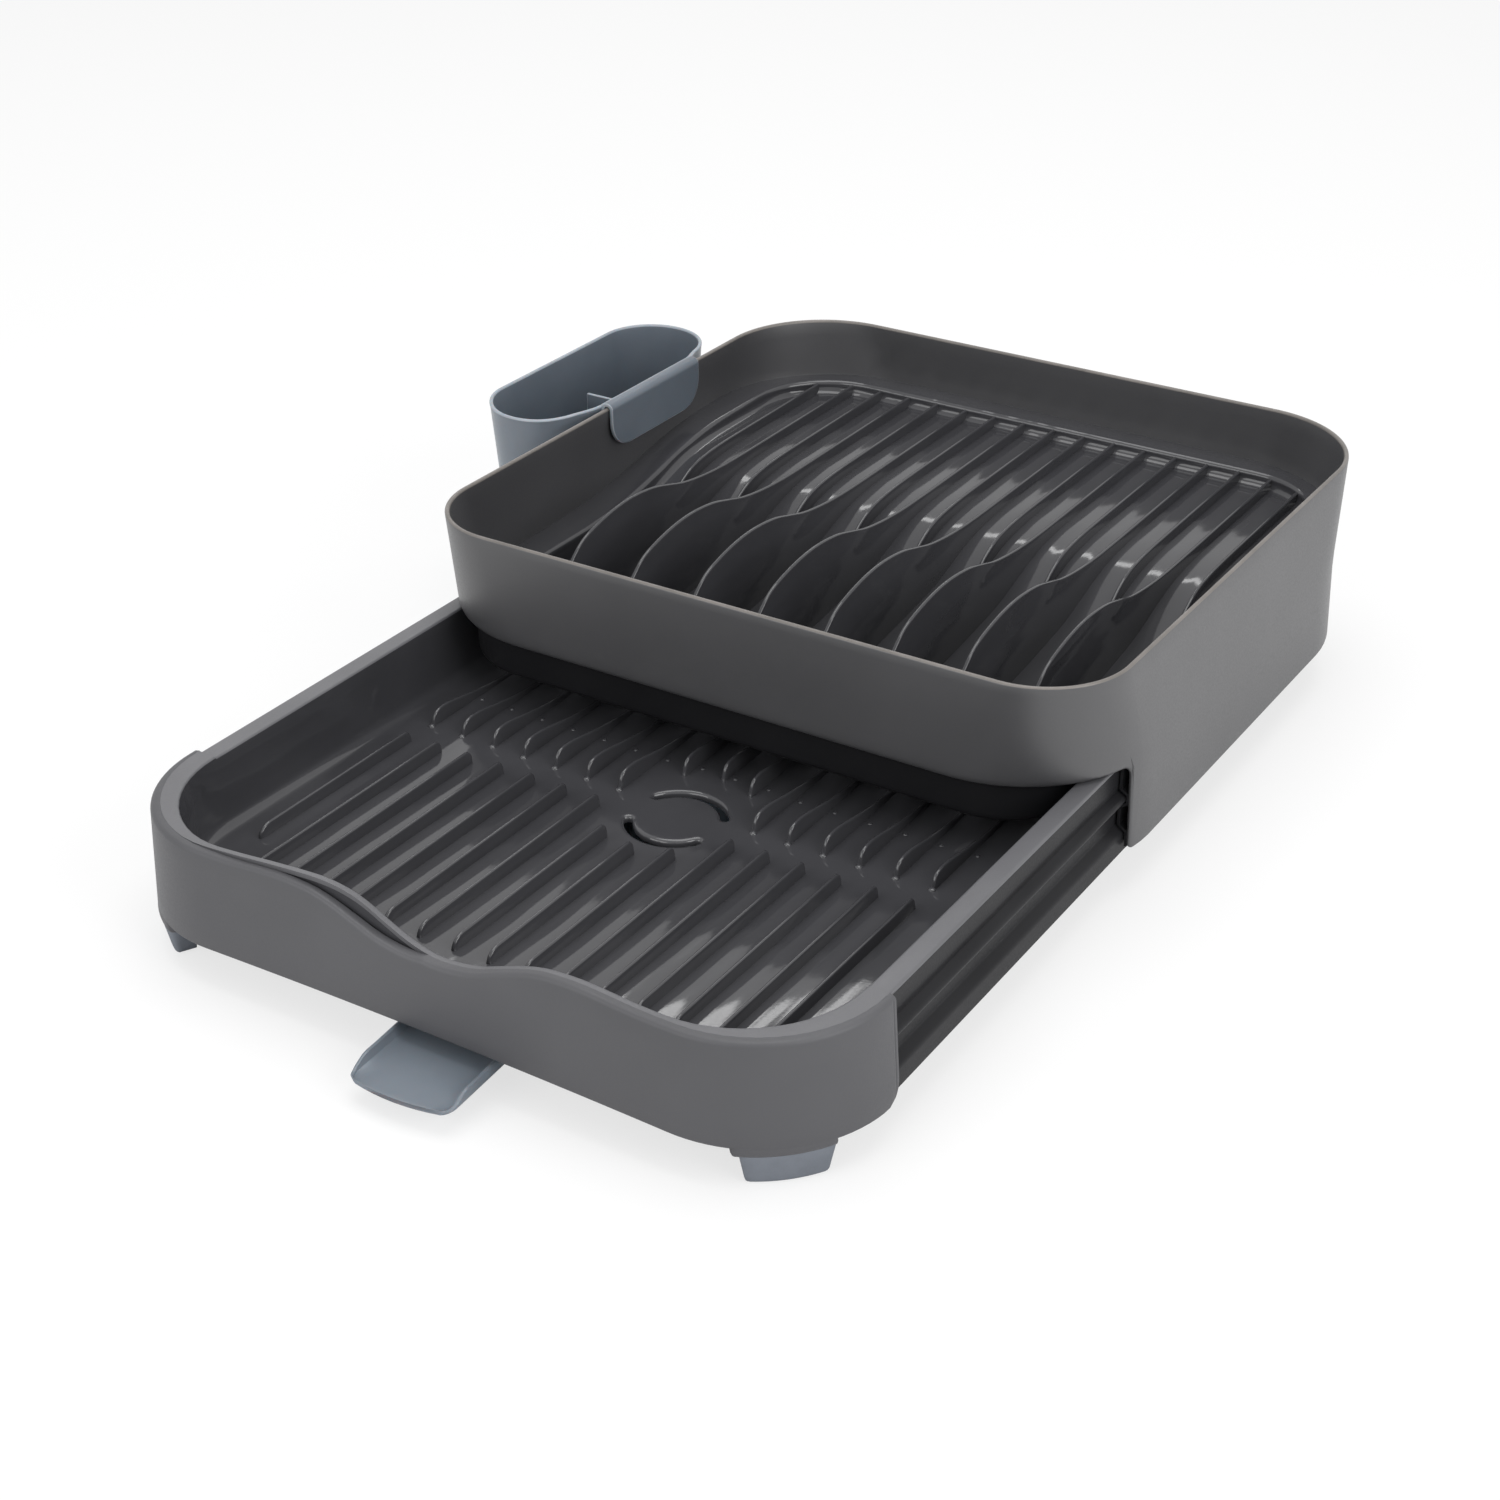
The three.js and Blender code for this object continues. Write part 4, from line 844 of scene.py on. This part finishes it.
def makeTrayRibs():
    floor, high, nose = tray["floor"], tray["ribHeight"], tray["nose"]
    start, end, rise, back = tray["front"], tray["break"], tray["rearStart"], tray["cavity"]["back"] + 1
    level = [(start + nose * (1 - cos), floor - 0.2 + (high + 0.2) * sin)
             for cos, sin in map(onTurn, (0, 12, 25, 40, 55, 72, 90))]
    level += [(mix(start + nose, end + frontRibEnd[0][0], k / 4), floor + high) for k in (1, 2, 3)]
    level += [(end + along, floor + high + up) for along, up in frontRibEnd]
    hooked = [(rise + y, floor + z) for y, z in rearRibLine]
    hooked += [(mix(hooked[-1][0], back, k / 3), hooked[-1][1]) for k in (1, 2, 3)]
    for name, top, first, last, late, side, gap in (
            ("trayFrontRibs", level, start, end, tray["lateStart"], -1.0, 8),
            ("trayRearRibs", hooked, rise, back, 0, 1.0, 2)):
        rib = ribAlong(name, top, lambda y: floor - tray["ribFoot"], tray["ribWidth"], tray["ribDraft"],
                       "polishedPolypropylene")
        row = repeatRib(rib, "polishedPolypropylene", **{
            "Lines": tray["ribs"], "Pitch": tray["pitch"] * mm, "Split Y": at(0, (first + last) / 2, 0).y,
            "Late Start": late * mm, "Drain Radius": tray["drainRadius"] * mm, "Drain Gap": gap * mm,
            "Drain Side": side})
        fitPiece(row, "tray", "charcoal_gloss")


makeTrayRibs()
print("drain tray made")


# Fascia: its outside leans in a little, its top edge waves, its low edge arches and its heels are round
def fasciaSpot(part, share, z, grow):
    x, y, outX, outY = spot(fascia["low"], part, share)
    topX, topY, _, _ = spot(fascia["top"], part, share)
    up = (z - fascia["lowEdge"]) / (fascia["endHeight"] - fascia["lowEdge"])
    return mix(x, topX, up) + outX * grow, mix(y, topY, up) + outY * grow, z


def makeFascia():
    wall, band, roll, low, heel = (fascia[key] for key in ("wall", "band", "topRoll", "lowRoll", "heel"))
    plan, rim = fascia["low"], tray["rim"]
    flat = plan["front"] + plan["frontRadius"]
    sideLength = plan["back"] - plan["rearRadius"] - plan["front"] - plan["frontRadius"]
    stops = [(0, k / 60, 0) for k in range(60)] + [(1, k / 24, 0) for k in range(24)]
    stops += [(2, max(0, (y - flat) / sideLength), fascia["groove"] if y == fascia["grooveY"] else 0)
              for y in fascia["endStops"]]
    columns = []
    for part, share, groove in stops:
        footX, footY, _ = fasciaSpot(part, share, fascia["lowEdge"], 0)
        past = max(0, footY - (fascia["reach"] - heel))
        base = fascia["lowEdge"] + fascia["arch"] * (1 - min(1, (footX / fascia["archHalf"]) ** 2))
        base += heel - math.sqrt(max(0, heel ** 2 - past ** 2))
        top = heightOn(waveLine, fasciaSpot(part, share, fascia["endHeight"], 0)[0])
        steps = [(base + low - low * sin, -low + low * cos) for cos, sin in map(onTurn, (90, 60, 30, 0))]
        steps += [(mix(base + low, top - roll, k / 6), -groove) for k in range(1, 7)]
        steps += [(top - roll + roll * sin, -roll + roll * cos)
                  for cos, sin in map(onTurn, (22, 45, 68, 90))]
        section = [fasciaSpot(part, share, z, grow) for z, grow in steps]
        # the strip's inner edge lies on the tray's rim
        rimX, rimY = spot(rim, part, share)[:2] if part != 2 else (rim["half"], footY)
        rimZ = heightOn(waveLine, rimX)
        section += [(rimX, rimY, rimZ), (rimX, rimY, rimZ - band)]
        steps = [(top - band - fascia["bandDrop"], -wall), (base + low, -wall), (base, -wall + low * 0.6)]
        columns.append(section + [fasciaSpot(part, share, z, grow) for z, grow in steps])
    whole = [[(-x, y, z) for x, y, z in column] for column in columns[:0:-1]] + columns
    # the fascia takes the paler painted-light copy of the charcoal
    face = pieceFrom("frontFascia", skinOf(whole, capped=True), ["paintedLightFasciaPolypropylene"], crease=50)
    fitPiece(face, "tray", "charcoal_satin", "front_fascia")


makeFascia()

# Folded strips: rails outside the tray's walls, and guides inside the skirt with two hollow teeth
rail = {"start": 71.0, "end": 301, "thickness": 2.2,
        "path": [(171.9, 58.6, 0), (171.9, 50, 2), (171.5, 46.3, 1.2), (175.4, 44.4, 0.9),
                 (176.1, 43.6, 0.5), (175.2, 42.6, 0.6), (171.5, 40.6, 1.2), (171.5, 29.6, 2.4),
                 (175.8, 26.4, 1.8), (175.8, 17.4, 0)]}
guide = {"start": 271.6, "end": 486, "thickness": 1.2,
         "path": [(174.3, 60, 0), (174.3, 48.4, 0.8), (178.0, 46.4, 0.8), (178.0, 42.2, 0.8),
                  (174.3, 39.4, 0.8), (174.3, 30.6, 0.8), (178.3, 27.8, 0.8), (178.4, 20.6, 0)]}


def makeStrips():
    for strip, part, body, stands in ((rail, "trayRail", "tray", "tray_rail_"),
                                      (guide, "skirtGuide", "rack", "guide_rail_")):
        section = sheetSection(rounded(strip["path"]), strip["thickness"])
        for side, name in ((-1, "left"), (1, "right")):
            ends = [[(side * x, y, z) for x, z in section] for y in (strip["start"], strip["end"])]
            # rails and guides take the painted-shade charcoal
            piece = pieceFrom(part + name.capitalize(), skinOf(ends, capped=True), ["paintedShadeRailPolypropylene"],
                              crease=30)
            fitPiece(piece, body, "charcoal_satin", stands + name)


makeStrips()
print("fascia, rails and guides made")

# Front feet: curved blocks under the fascia's corners, lipped at the top and tapered to the sole, each let
# into a bead of the fascia. Angles are in degrees about the corner's centre; a profile is (radius, z).
foot = {"centre": (115.6, 68.5), "start": -64.5, "end": -27.5, "taper": 1.7, "topZ": 11, "soleZ": -3.5,
        "middle": 55, "thin": 0.5, "soleLift": 1.6, "cornerTurn": 0.24, "cornerTop": 1.5,
        "profile": [(50.6, -3.5, 0), (59.8, -3.5, 2.6), (62.6, 11.1, 0.3), (54.4, 11.2, 0.2),
                    (54.4, 22.1, 0), (50.2, 22.1, 0), (50.2, 1.0, 0)],
        "ends": [(0, 1.0), (0.35, 0.62), (1.0, 0.3), (2.0, 0.1), (3.2, 0.0)],
        "bead": [(50.4, 11.0, 0), (62.5, 11.0, 0.4), (63.1, 12.2, 0.8), (62.7, 15.4, 0.3), (50.4, 15.4, 0)],
        "beadStart": [(-3.6, 1.5), (-2.5, 0.6), (-1.6, 0.15), (-0.8, 0)],
        "beadEnd": [(-1.4, 0), (-0.9, 0.15), (-0.4, 0.6), (0.1, 1.5)]}


# A profile turned about the fascia's corner; each turn has a share by which its end is drawn in
def turned(profile, fine, turns, side, taper):
    cx, cy = foot["centre"]
    middle, section, rows = (foot["start"] + foot["end"]) / 2, rounded(profile + profile[:1], fine)[:-1], []
    for turn, shy in turns:
        row = []
        for radius, z in section:
            r = foot["middle"] + (radius - foot["middle"]) * (1 - foot["thin"] * shy)
            low = max(0, foot["topZ"] - z) / (foot["topZ"] - foot["soleZ"]) * taper
            low += foot["cornerTurn"] * shy * max(0, foot["cornerTop"] - z)
            cos, sin = onTurn(turn + low * (middle - turn) / (middle - foot["start"]))
            row.append((side * (cx + r * cos), cy + r * sin, max(z, foot["soleZ"] + shy * foot["soleLift"])))
        rows.append(row)
    return skinOf(rows, capped=True)


def makeFrontFeet():
    first, last, ends = foot["start"], foot["end"], foot["ends"]
    turns = [(first + step, shy) for step, shy in ends]
    turns += [(mix(first + ends[-1][0], last - ends[-1][0], k / 12), 0) for k in range(1, 12)]
    turns += [(last - step, shy) for step, shy in reversed(ends)]
    beadTurns = [(first + step, shy) for step, shy in foot["beadStart"]]
    beadTurns += [(mix(beadTurns[-1][0], last + foot["beadEnd"][0][0], k / 12), 0) for k in range(1, 12)]
    beadTurns += [(last + step, shy) for step, shy in foot["beadEnd"]]
    for side, name in ((-1, "left"), (1, "right")):
        block = turned(foot["profile"], 5, turns, side, foot["taper"])
        fitPiece(pieceFrom("frontFoot" + name.capitalize(), block, ["mouldedRubber"], crease=50), "tray",
                 "foot_grey", "foot_front_" + name)
        bead = turned(foot["bead"], 3, beadTurns, side, 0)
        # the seat takes the fascia's painted-light copy too
        fitPiece(pieceFrom("footSeat" + name.capitalize(), bead, ["paintedLightFasciaPolypropylene"], crease=50),
                 "tray", "charcoal_satin")


makeFrontFeet()

# Spout: a bowl under the drain with an open chute to the front, and the pin that it turns on, (radius, z)
spout = {"tip": -24.6, "half": 25, "hub": 33, "drainY": 183, "lipRadius": 90, "lipReach": 30, "wall": 2,
         "rimHub": 20, "rimTip": 12.5, "floorTip": 8, "floorHub": 10, "slope": 150, "turn": 2.5, "mouth": 14,
         "cornerReach": 6, "cornerIn": 2.6, "fillet": 3.5, "backWall": 3.2, "bore": 4.85,
         "stations": (0, 0.6, 1.5, 3, 5, 8, 11, 14, 20, 40, 80, 120, 150),
         "hubTurns": (-38, -25, -12, 0, 15, 30, 45, 58, 68, 76, 80),
         "pinSides": 32,
         "pin": [(0, 4.7), (6.8, 4.7), (7.7, 5.1), (8, 5.9), (8, 7.0), (7.6, 7.6), (5.3, 7.7), (4.5, 8.4),
                 (4.5, 21.4), (3.9, 22.1), (0, 22.1)]}


# The chute's section at a distance from its tip
def chuteSection(along):
    tip, wall, hub, centre = spout["tip"], spout["wall"], spout["hub"], spout["drainY"]
    y, wide = tip + along, spout["half"]
    if y > centre - math.sqrt(hub ** 2 - wide ** 2):
        wide = math.sqrt(max(0, hub ** 2 - (y - centre) ** 2))
    wide -= spout["cornerIn"] * drawnIn(min(1, along / spout["cornerReach"]))
    floor = mix(spout["floorTip"], spout["floorHub"], min(1, max(0, along) / (spout["slope"] - tip)))
    rim = mix(spout["rimTip"], spout["rimHub"], min(1, max(0, y / spout["slope"])))
    rim = mix(floor + 0.4, rim, eased(along / spout["mouth"]))
    if y > centre + hub - spout["backWall"]:
        floor = rim - 0.3
    inner = max(0.2, wide - wall)
    fillet = min(spout["fillet"], inner * 0.4, max(0.1, rim - floor - 1))
    lower = [(-inner + fillet, floor - wall), (-wide + 1, floor - wall + 0.6), (-wide, floor - wall + 2)]
    upper = [(-wide, rim - 1), (-wide + 0.3, rim - 0.3), (-wide + 1, rim), (-wide + 1.7, rim - 0.3),
             (-inner, rim - 1), (-inner, floor + fillet)]
    section = lower + [(x, max(z, floor)) for x, z in upper]
    section += [(-inner + fillet * 0.3, floor + fillet * 0.3), (-inner + fillet, floor)]
    middle = [(x * (inner - fillet), floor) for x in (-0.75, -0.5, -0.25, 0, 0.25, 0.5, 0.75)]
    whole = section + middle + [(-x, z) for x, z in section[::-1]] + [(x, z - wall) for x, z in middle[::-1]]
    bow, radius = max(0, 1 - along / spout["lipReach"]), spout["lipRadius"]
    turnX, turnY = onTurn(spout["turn"])
    row = []
    for x, z in whole:
        away = y + (radius - math.sqrt(radius ** 2 - x ** 2)) * bow - centre
        row.append((x * turnX - away * turnY, centre + x * turnY + away * turnX, z))
    return row


def makeSpout():
    hub, centre = spout["hub"], spout["drainY"]
    stations = [*spout["stations"], centre - math.sqrt(hub ** 2 - spout["half"] ** 2) - spout["tip"]]
    stations += [centre + hub * sin - spout["tip"] for _, sin in map(onTurn, spout["hubTurns"])]
    skin = skinOf([chuteSection(along) for along in stations], capped=True)
    # the spout takes the paler painted-light copy
    chute = pieceFrom("spoutChute", skin, ["paintedLightTintedPolypropylene"], crease=40)
    bore = [(spout["bore"] * cos, centre + spout["bore"] * sin)
            for cos, sin in map(onTurn, range(0, 360, 15))]
    carve(chute, "paintedLightTintedPolypropylene", [bore], 0, 16)
    fitPiece(chute, "spout", "blue_grey", "spout")

    circle = [onTurn(360 * k / spout["pinSides"]) for k in range(spout["pinSides"])]
    pin = skinOf([[(r * cos, centre + r * sin, z) for cos, sin in circle] for r, z in spout["pin"]])
    fitPiece(pieceFrom("spoutPin", pin, ["erodedPolypropylene"]), "tray", "charcoal_satin", "spout_pivot")


makeSpout()
print("feet and spout made")

# Cutlery holder: a tapered cup whose wall leans over to the hook, a hook over the bowl's rim and a divider
holder = {"plan": {"half": 29, "front": 351, "back": 505, "frontRadius": 28.5, "rearRadius": 28.5},
          "centre": -212, "top": 114, "bottom": 22, "taper": 7, "wall": 2, "edge": 1, "floorRoll": 4,
          "shoulder": 4, "lean": 3.7, "leanFrom": 96, "leanLead": 15, "leanFade": 16, "leanSide": 6,
          "rimDrop": 1.6, "dip": 1.3, "dipFrom": 372, "dipReach": 22, "hookRise": 0.4,
          "climb": (0.2, 0.4, 0.6, 0.75, 0.85, 0.92, 1), "slitWidth": 3.2, "slitLength": 24, "slitPitch": 12,
          "slitGap": 1.8, "middle": 428}
hook = {"front": 385, "back": 466, "low": 88.9, "corner": 15, "wall": 2.0, "play": 0.4, "foldZ": 111.2,
        "foldWide": 2.7, "foldHigh": 2.25, "start": [(-4.3, 103.0), (-3.2, 107.0)]}
divider = {"top": 97, "bottom": 23.5, "left": -8, "right": 27.2, "wall": 1.8}


# 1 where the cup's wall leans over to the hook, 0 away from it
def atHook(x, y):
    lead, fade = holder["leanLead"], holder["leanFade"]
    along = eased((y - hook["front"] + lead) / fade) * eased((hook["back"] + lead - y) / fade)
    return along * eased((x - holder["leanSide"]) / fade)


def cupRimAt(x, y):
    dipped = holder["dip"] * eased((holder["dipFrom"] - y) / holder["dipReach"])
    return holder["top"] - holder["rimDrop"] - dipped + holder["hookRise"] * atHook(x, y)


def cupGrow(z):
    return -holder["taper"] * (holder["top"] - z) / (holder["top"] - holder["bottom"])


def makeCup():
    plan, top, bottom = holder["plan"], holder["top"], holder["bottom"]
    wall, edge, roll, climb = holder["wall"], holder["edge"], holder["floorRoll"], holder["climb"]
    route = routeRound(2, 16, 60)

    def side(share, inset):
        z = mix(bottom + roll, top - holder["shoulder"], share)
        return ringOf(plan, cupGrow(z) - inset, z, route)

    def rolled(degrees, inset, low):
        cos, sin = onTurn(degrees)
        z = low + roll * (1 - sin)
        return ringOf(plan, cupGrow(z) - inset - roll * (1 - cos), z, route)

    def lipped(share, inner):
        grow = edge * drawnIn(share) - wall if inner else -edge * drawnIn(share)
        return ringOf(plan, grow, lambda x, y: cupRimAt(x, y) - edge * share, route)

    def leaned(x, y, z):
        up = eased((z - holder["leanFrom"]) / (top - 2 - holder["leanFrom"]))
        return x + holder["centre"] + holder["lean"] * up * atHook(x, y), y, z
    rings = [rolled(a, 0, bottom) for a in (90, 60, 30, 0)] + [side(share, 0) for share in climb]
    rings += [lipped(share, False) for share in (1, 0.6, 0.3, 0.1, 0)]
    rings += [lipped(share, True) for share in (0.1, 0.3, 0.6, 1)]
    rings += [side(share, wall) for share in climb[::-1]]
    rings += [rolled(a, wall, bottom + wall) for a in (0, 30, 60, 90)]
    rings = [[leaned(*p) for p in ring] for ring in rings]
    points, faces = floorBoth(rings, 2, bottom + wall, bottom)
    firstLip = len(climb) + 4
    rows = [k // len(rings[0]) for k in range(len(faces))]
    # the cup's outside rows get the paler painted-light copy and its lip rows the pale painted edge light
    marks = [2 if row < firstLip else 1 if row < firstLip + 8 else 0 for row in rows]
    cup = pieceFrom("cutleryCup", (points, faces), ["tintedPolypropylene", "paintedEdgeLightTintedPolypropylene",
                                                    "paintedLightTintedPolypropylene"], marks, crease=50)
    width, length = holder["slitWidth"], holder["slitLength"]
    offset = length / 2 + holder["slitGap"] + width
    slits = [slitOutline(holder["centre"] + holder["slitPitch"] * row, holder["middle"] + half * offset,
                         width, length) for half in (-1, 1) for row in (-1, 0, 1)]
    carve(cup, "tintedPolypropylene", slits, 15, 30)
    fitPiece(cup, "cutlery_holder", "blue_grey", "cutlery_cup")


def roundSheet(name, grid, thickness, bevel):
    count = len(grid[0])
    points = [p for row in grid for p in row]
    faces = [(r * count + k, r * count + k + 1, (r + 1) * count + k + 1, (r + 1) * count + k)
             for r in range(len(grid) - 1) for k in range(count - 1)]
    sheet = pieceFrom(name, (points, faces), ["tintedPolypropylene", "paintedEdgeLightTintedPolypropylene"], crease=60)
    thick = sheet.modifiers.new("thick", "SOLIDIFY")
    thick.thickness, thick.offset, thick.use_even_offset = thickness * mm, 0, True
    # the sheet's cut edges and bevels get the pale painted edge light
    thick.material_offset_rim = 1
    edges = sheet.modifiers.new("edges", "BEVEL")
    edges.width, edges.segments, edges.limit_method, edges.material = bevel * mm, 3, "ANGLE", 1
    edges.angle_limit = math.radians(50)
    bake(sheet)
    sheet.data.shade_smooth()
    sheet.data.set_sharp_from_angle(angle=math.radians(50))
    return sheet


def makeHook():
    # up beside the bowl's wall, over the rim in a round fold, and down inside the bowl
    inside = -(bowl["rim"]["half"] - bowl["wall"] - hook["play"] - hook["wall"] / 2)
    foldX, foldZ, wide, high = inside - hook["foldWide"], hook["foldZ"], hook["foldWide"], hook["foldHigh"]
    low, corner = hook["low"], hook["corner"]
    line = [(foldX + x, z) for x, z in hook["start"]]
    line += [(foldX - wide * cos, foldZ + high * sin) for cos, sin in map(onTurn, range(0, 181, 15))]
    line += [(inside, mix(foldZ, low, k / 16)) for k in range(1, 17)]
    grid = []
    for x, z in line:
        cutBack = corner * drawnIn((z - low) / corner) if x > foldX and z - low < corner else 0
        front, back = hook["front"] + cutBack, hook["back"] - cutBack
        grid.append([(x, mix(front, back, k / 24), z) for k in range(25)])
    fitPiece(roundSheet("holderHook", grid, hook["wall"], 0.9), "cutlery_holder", "blue_grey", "holder_hook")


def makeDivider():
    grid = []
    for k in range(13):
        z = mix(divider["bottom"], divider["top"], k / 12)
        right = divider["right"] + cupGrow(z)
        grid.append([(holder["centre"] + mix(divider["left"], right, j / 8), holder["middle"], z)
                     for j in range(9)])
    fitPiece(roundSheet("holderDivider", grid, divider["wall"], 0.5), "cutlery_holder", "blue_grey",
             "holder_divider")


makeCup()
makeHook()
makeDivider()
print("cutlery holder made")

# Studio: pale floor and backdrop in one, soft lamps over it and to the right, a white world in reflections.
# Each lamp has its place, its aim, its size and its power.
studio = {"floorHalf": 8, "floorColour": "#f2f2f2", "floorGlow": 0.7, "world": 0.6,
          "lamps": [("overhead", (0.0, 0.1, 1.9), (0, 0.1, 0), (1.6, 1.2), 17),
                    ("right", (1.7, -0.3, 1.0), (0, 0.15, 0.05), (1.2, 1.0), 14),
                    ("backStrip", (-0.9, 1.5, 1.5), (0, 0.1, 0.05), (1.6, 0.12), 2.5),
                    ("front", (-0.6, -2.1, 1.2), (0, 0, 0.05), (1.8, 1.2), 15)]}


def makeFloor():
    mesh = bpy.data.meshes.new("studioFloor")
    reach = studio["floorHalf"]
    mesh.from_pydata([(-reach, -reach, 0), (reach, -reach, 0), (reach, reach, 0), (-reach, reach, 0)], [],
                     [(0, 1, 2, 3)])
    paper = bpy.data.materials.new("mattPaper")
    paper.use_nodes = True
    tree = paper.node_tree
    tree.nodes.clear()
    path = addNode(tree, "ShaderNodeLightPath").outputs
    matt = addNode(tree, "ShaderNodeBsdfDiffuse", {"Color": linearColour(studio["floorColour"])}).outputs[0]
    glow = addNode(tree, "ShaderNodeEmission", {"Color": (1, 1, 1, 1), "Strength": path["Is Camera Ray"]})
    dim = addNode(tree, "ShaderNodeMixShader", {"Fac": studio["floorGlow"], 1: matt, 2: glow.outputs[0]})
    both = addNode(tree, "ShaderNodeMixShader", {"Fac": path["Is Camera Ray"], 1: matt, 2: dim.outputs[0]})
    addNode(tree, "ShaderNodeOutputMaterial", {"Surface": both.outputs[0]})
    mesh.materials.append(paper)
    place("studioFloor", mesh)


def lightStudio():
    world = bpy.data.worlds.new("studio")
    bpy.context.scene.world = world
    world.use_nodes = True
    tree = world.node_tree
    tree.nodes.clear()
    path = addNode(tree, "ShaderNodeLightPath").outputs
    seen = path["Is Camera Ray"]
    for ray in ("Is Glossy Ray", "Is Transmission Ray"):
        seen = addNode(tree, "ShaderNodeMath", {0: seen, 1: path[ray]}, operation="MAXIMUM").outputs[0]
    level = addNode(tree, "ShaderNodeMapRange", {"Value": seen, "To Min": studio["world"], "To Max": 1.0})
    glow = addNode(tree, "ShaderNodeBackground", {"Color": (1, 1, 1, 1), "Strength": level.outputs[0]})
    addNode(tree, "ShaderNodeOutputWorld", {"Surface": glow.outputs[0]})
    for name, spotAt, target, size, power in studio["lamps"]:
        lamp = bpy.data.lights.new(name, "AREA")
        lamp.shape, lamp.size, lamp.size_y, lamp.energy = "RECTANGLE", *size, power
        stand = place(name, lamp)
        stand.location = spotAt
        stand.rotation_euler = (Vector(target) - Vector(spotAt)).to_track_quat("-Z", "Y").to_euler()
    bpy.context.scene.view_settings.view_transform = "Standard"


makeFloor()
lightStudio()
print("studio lit")
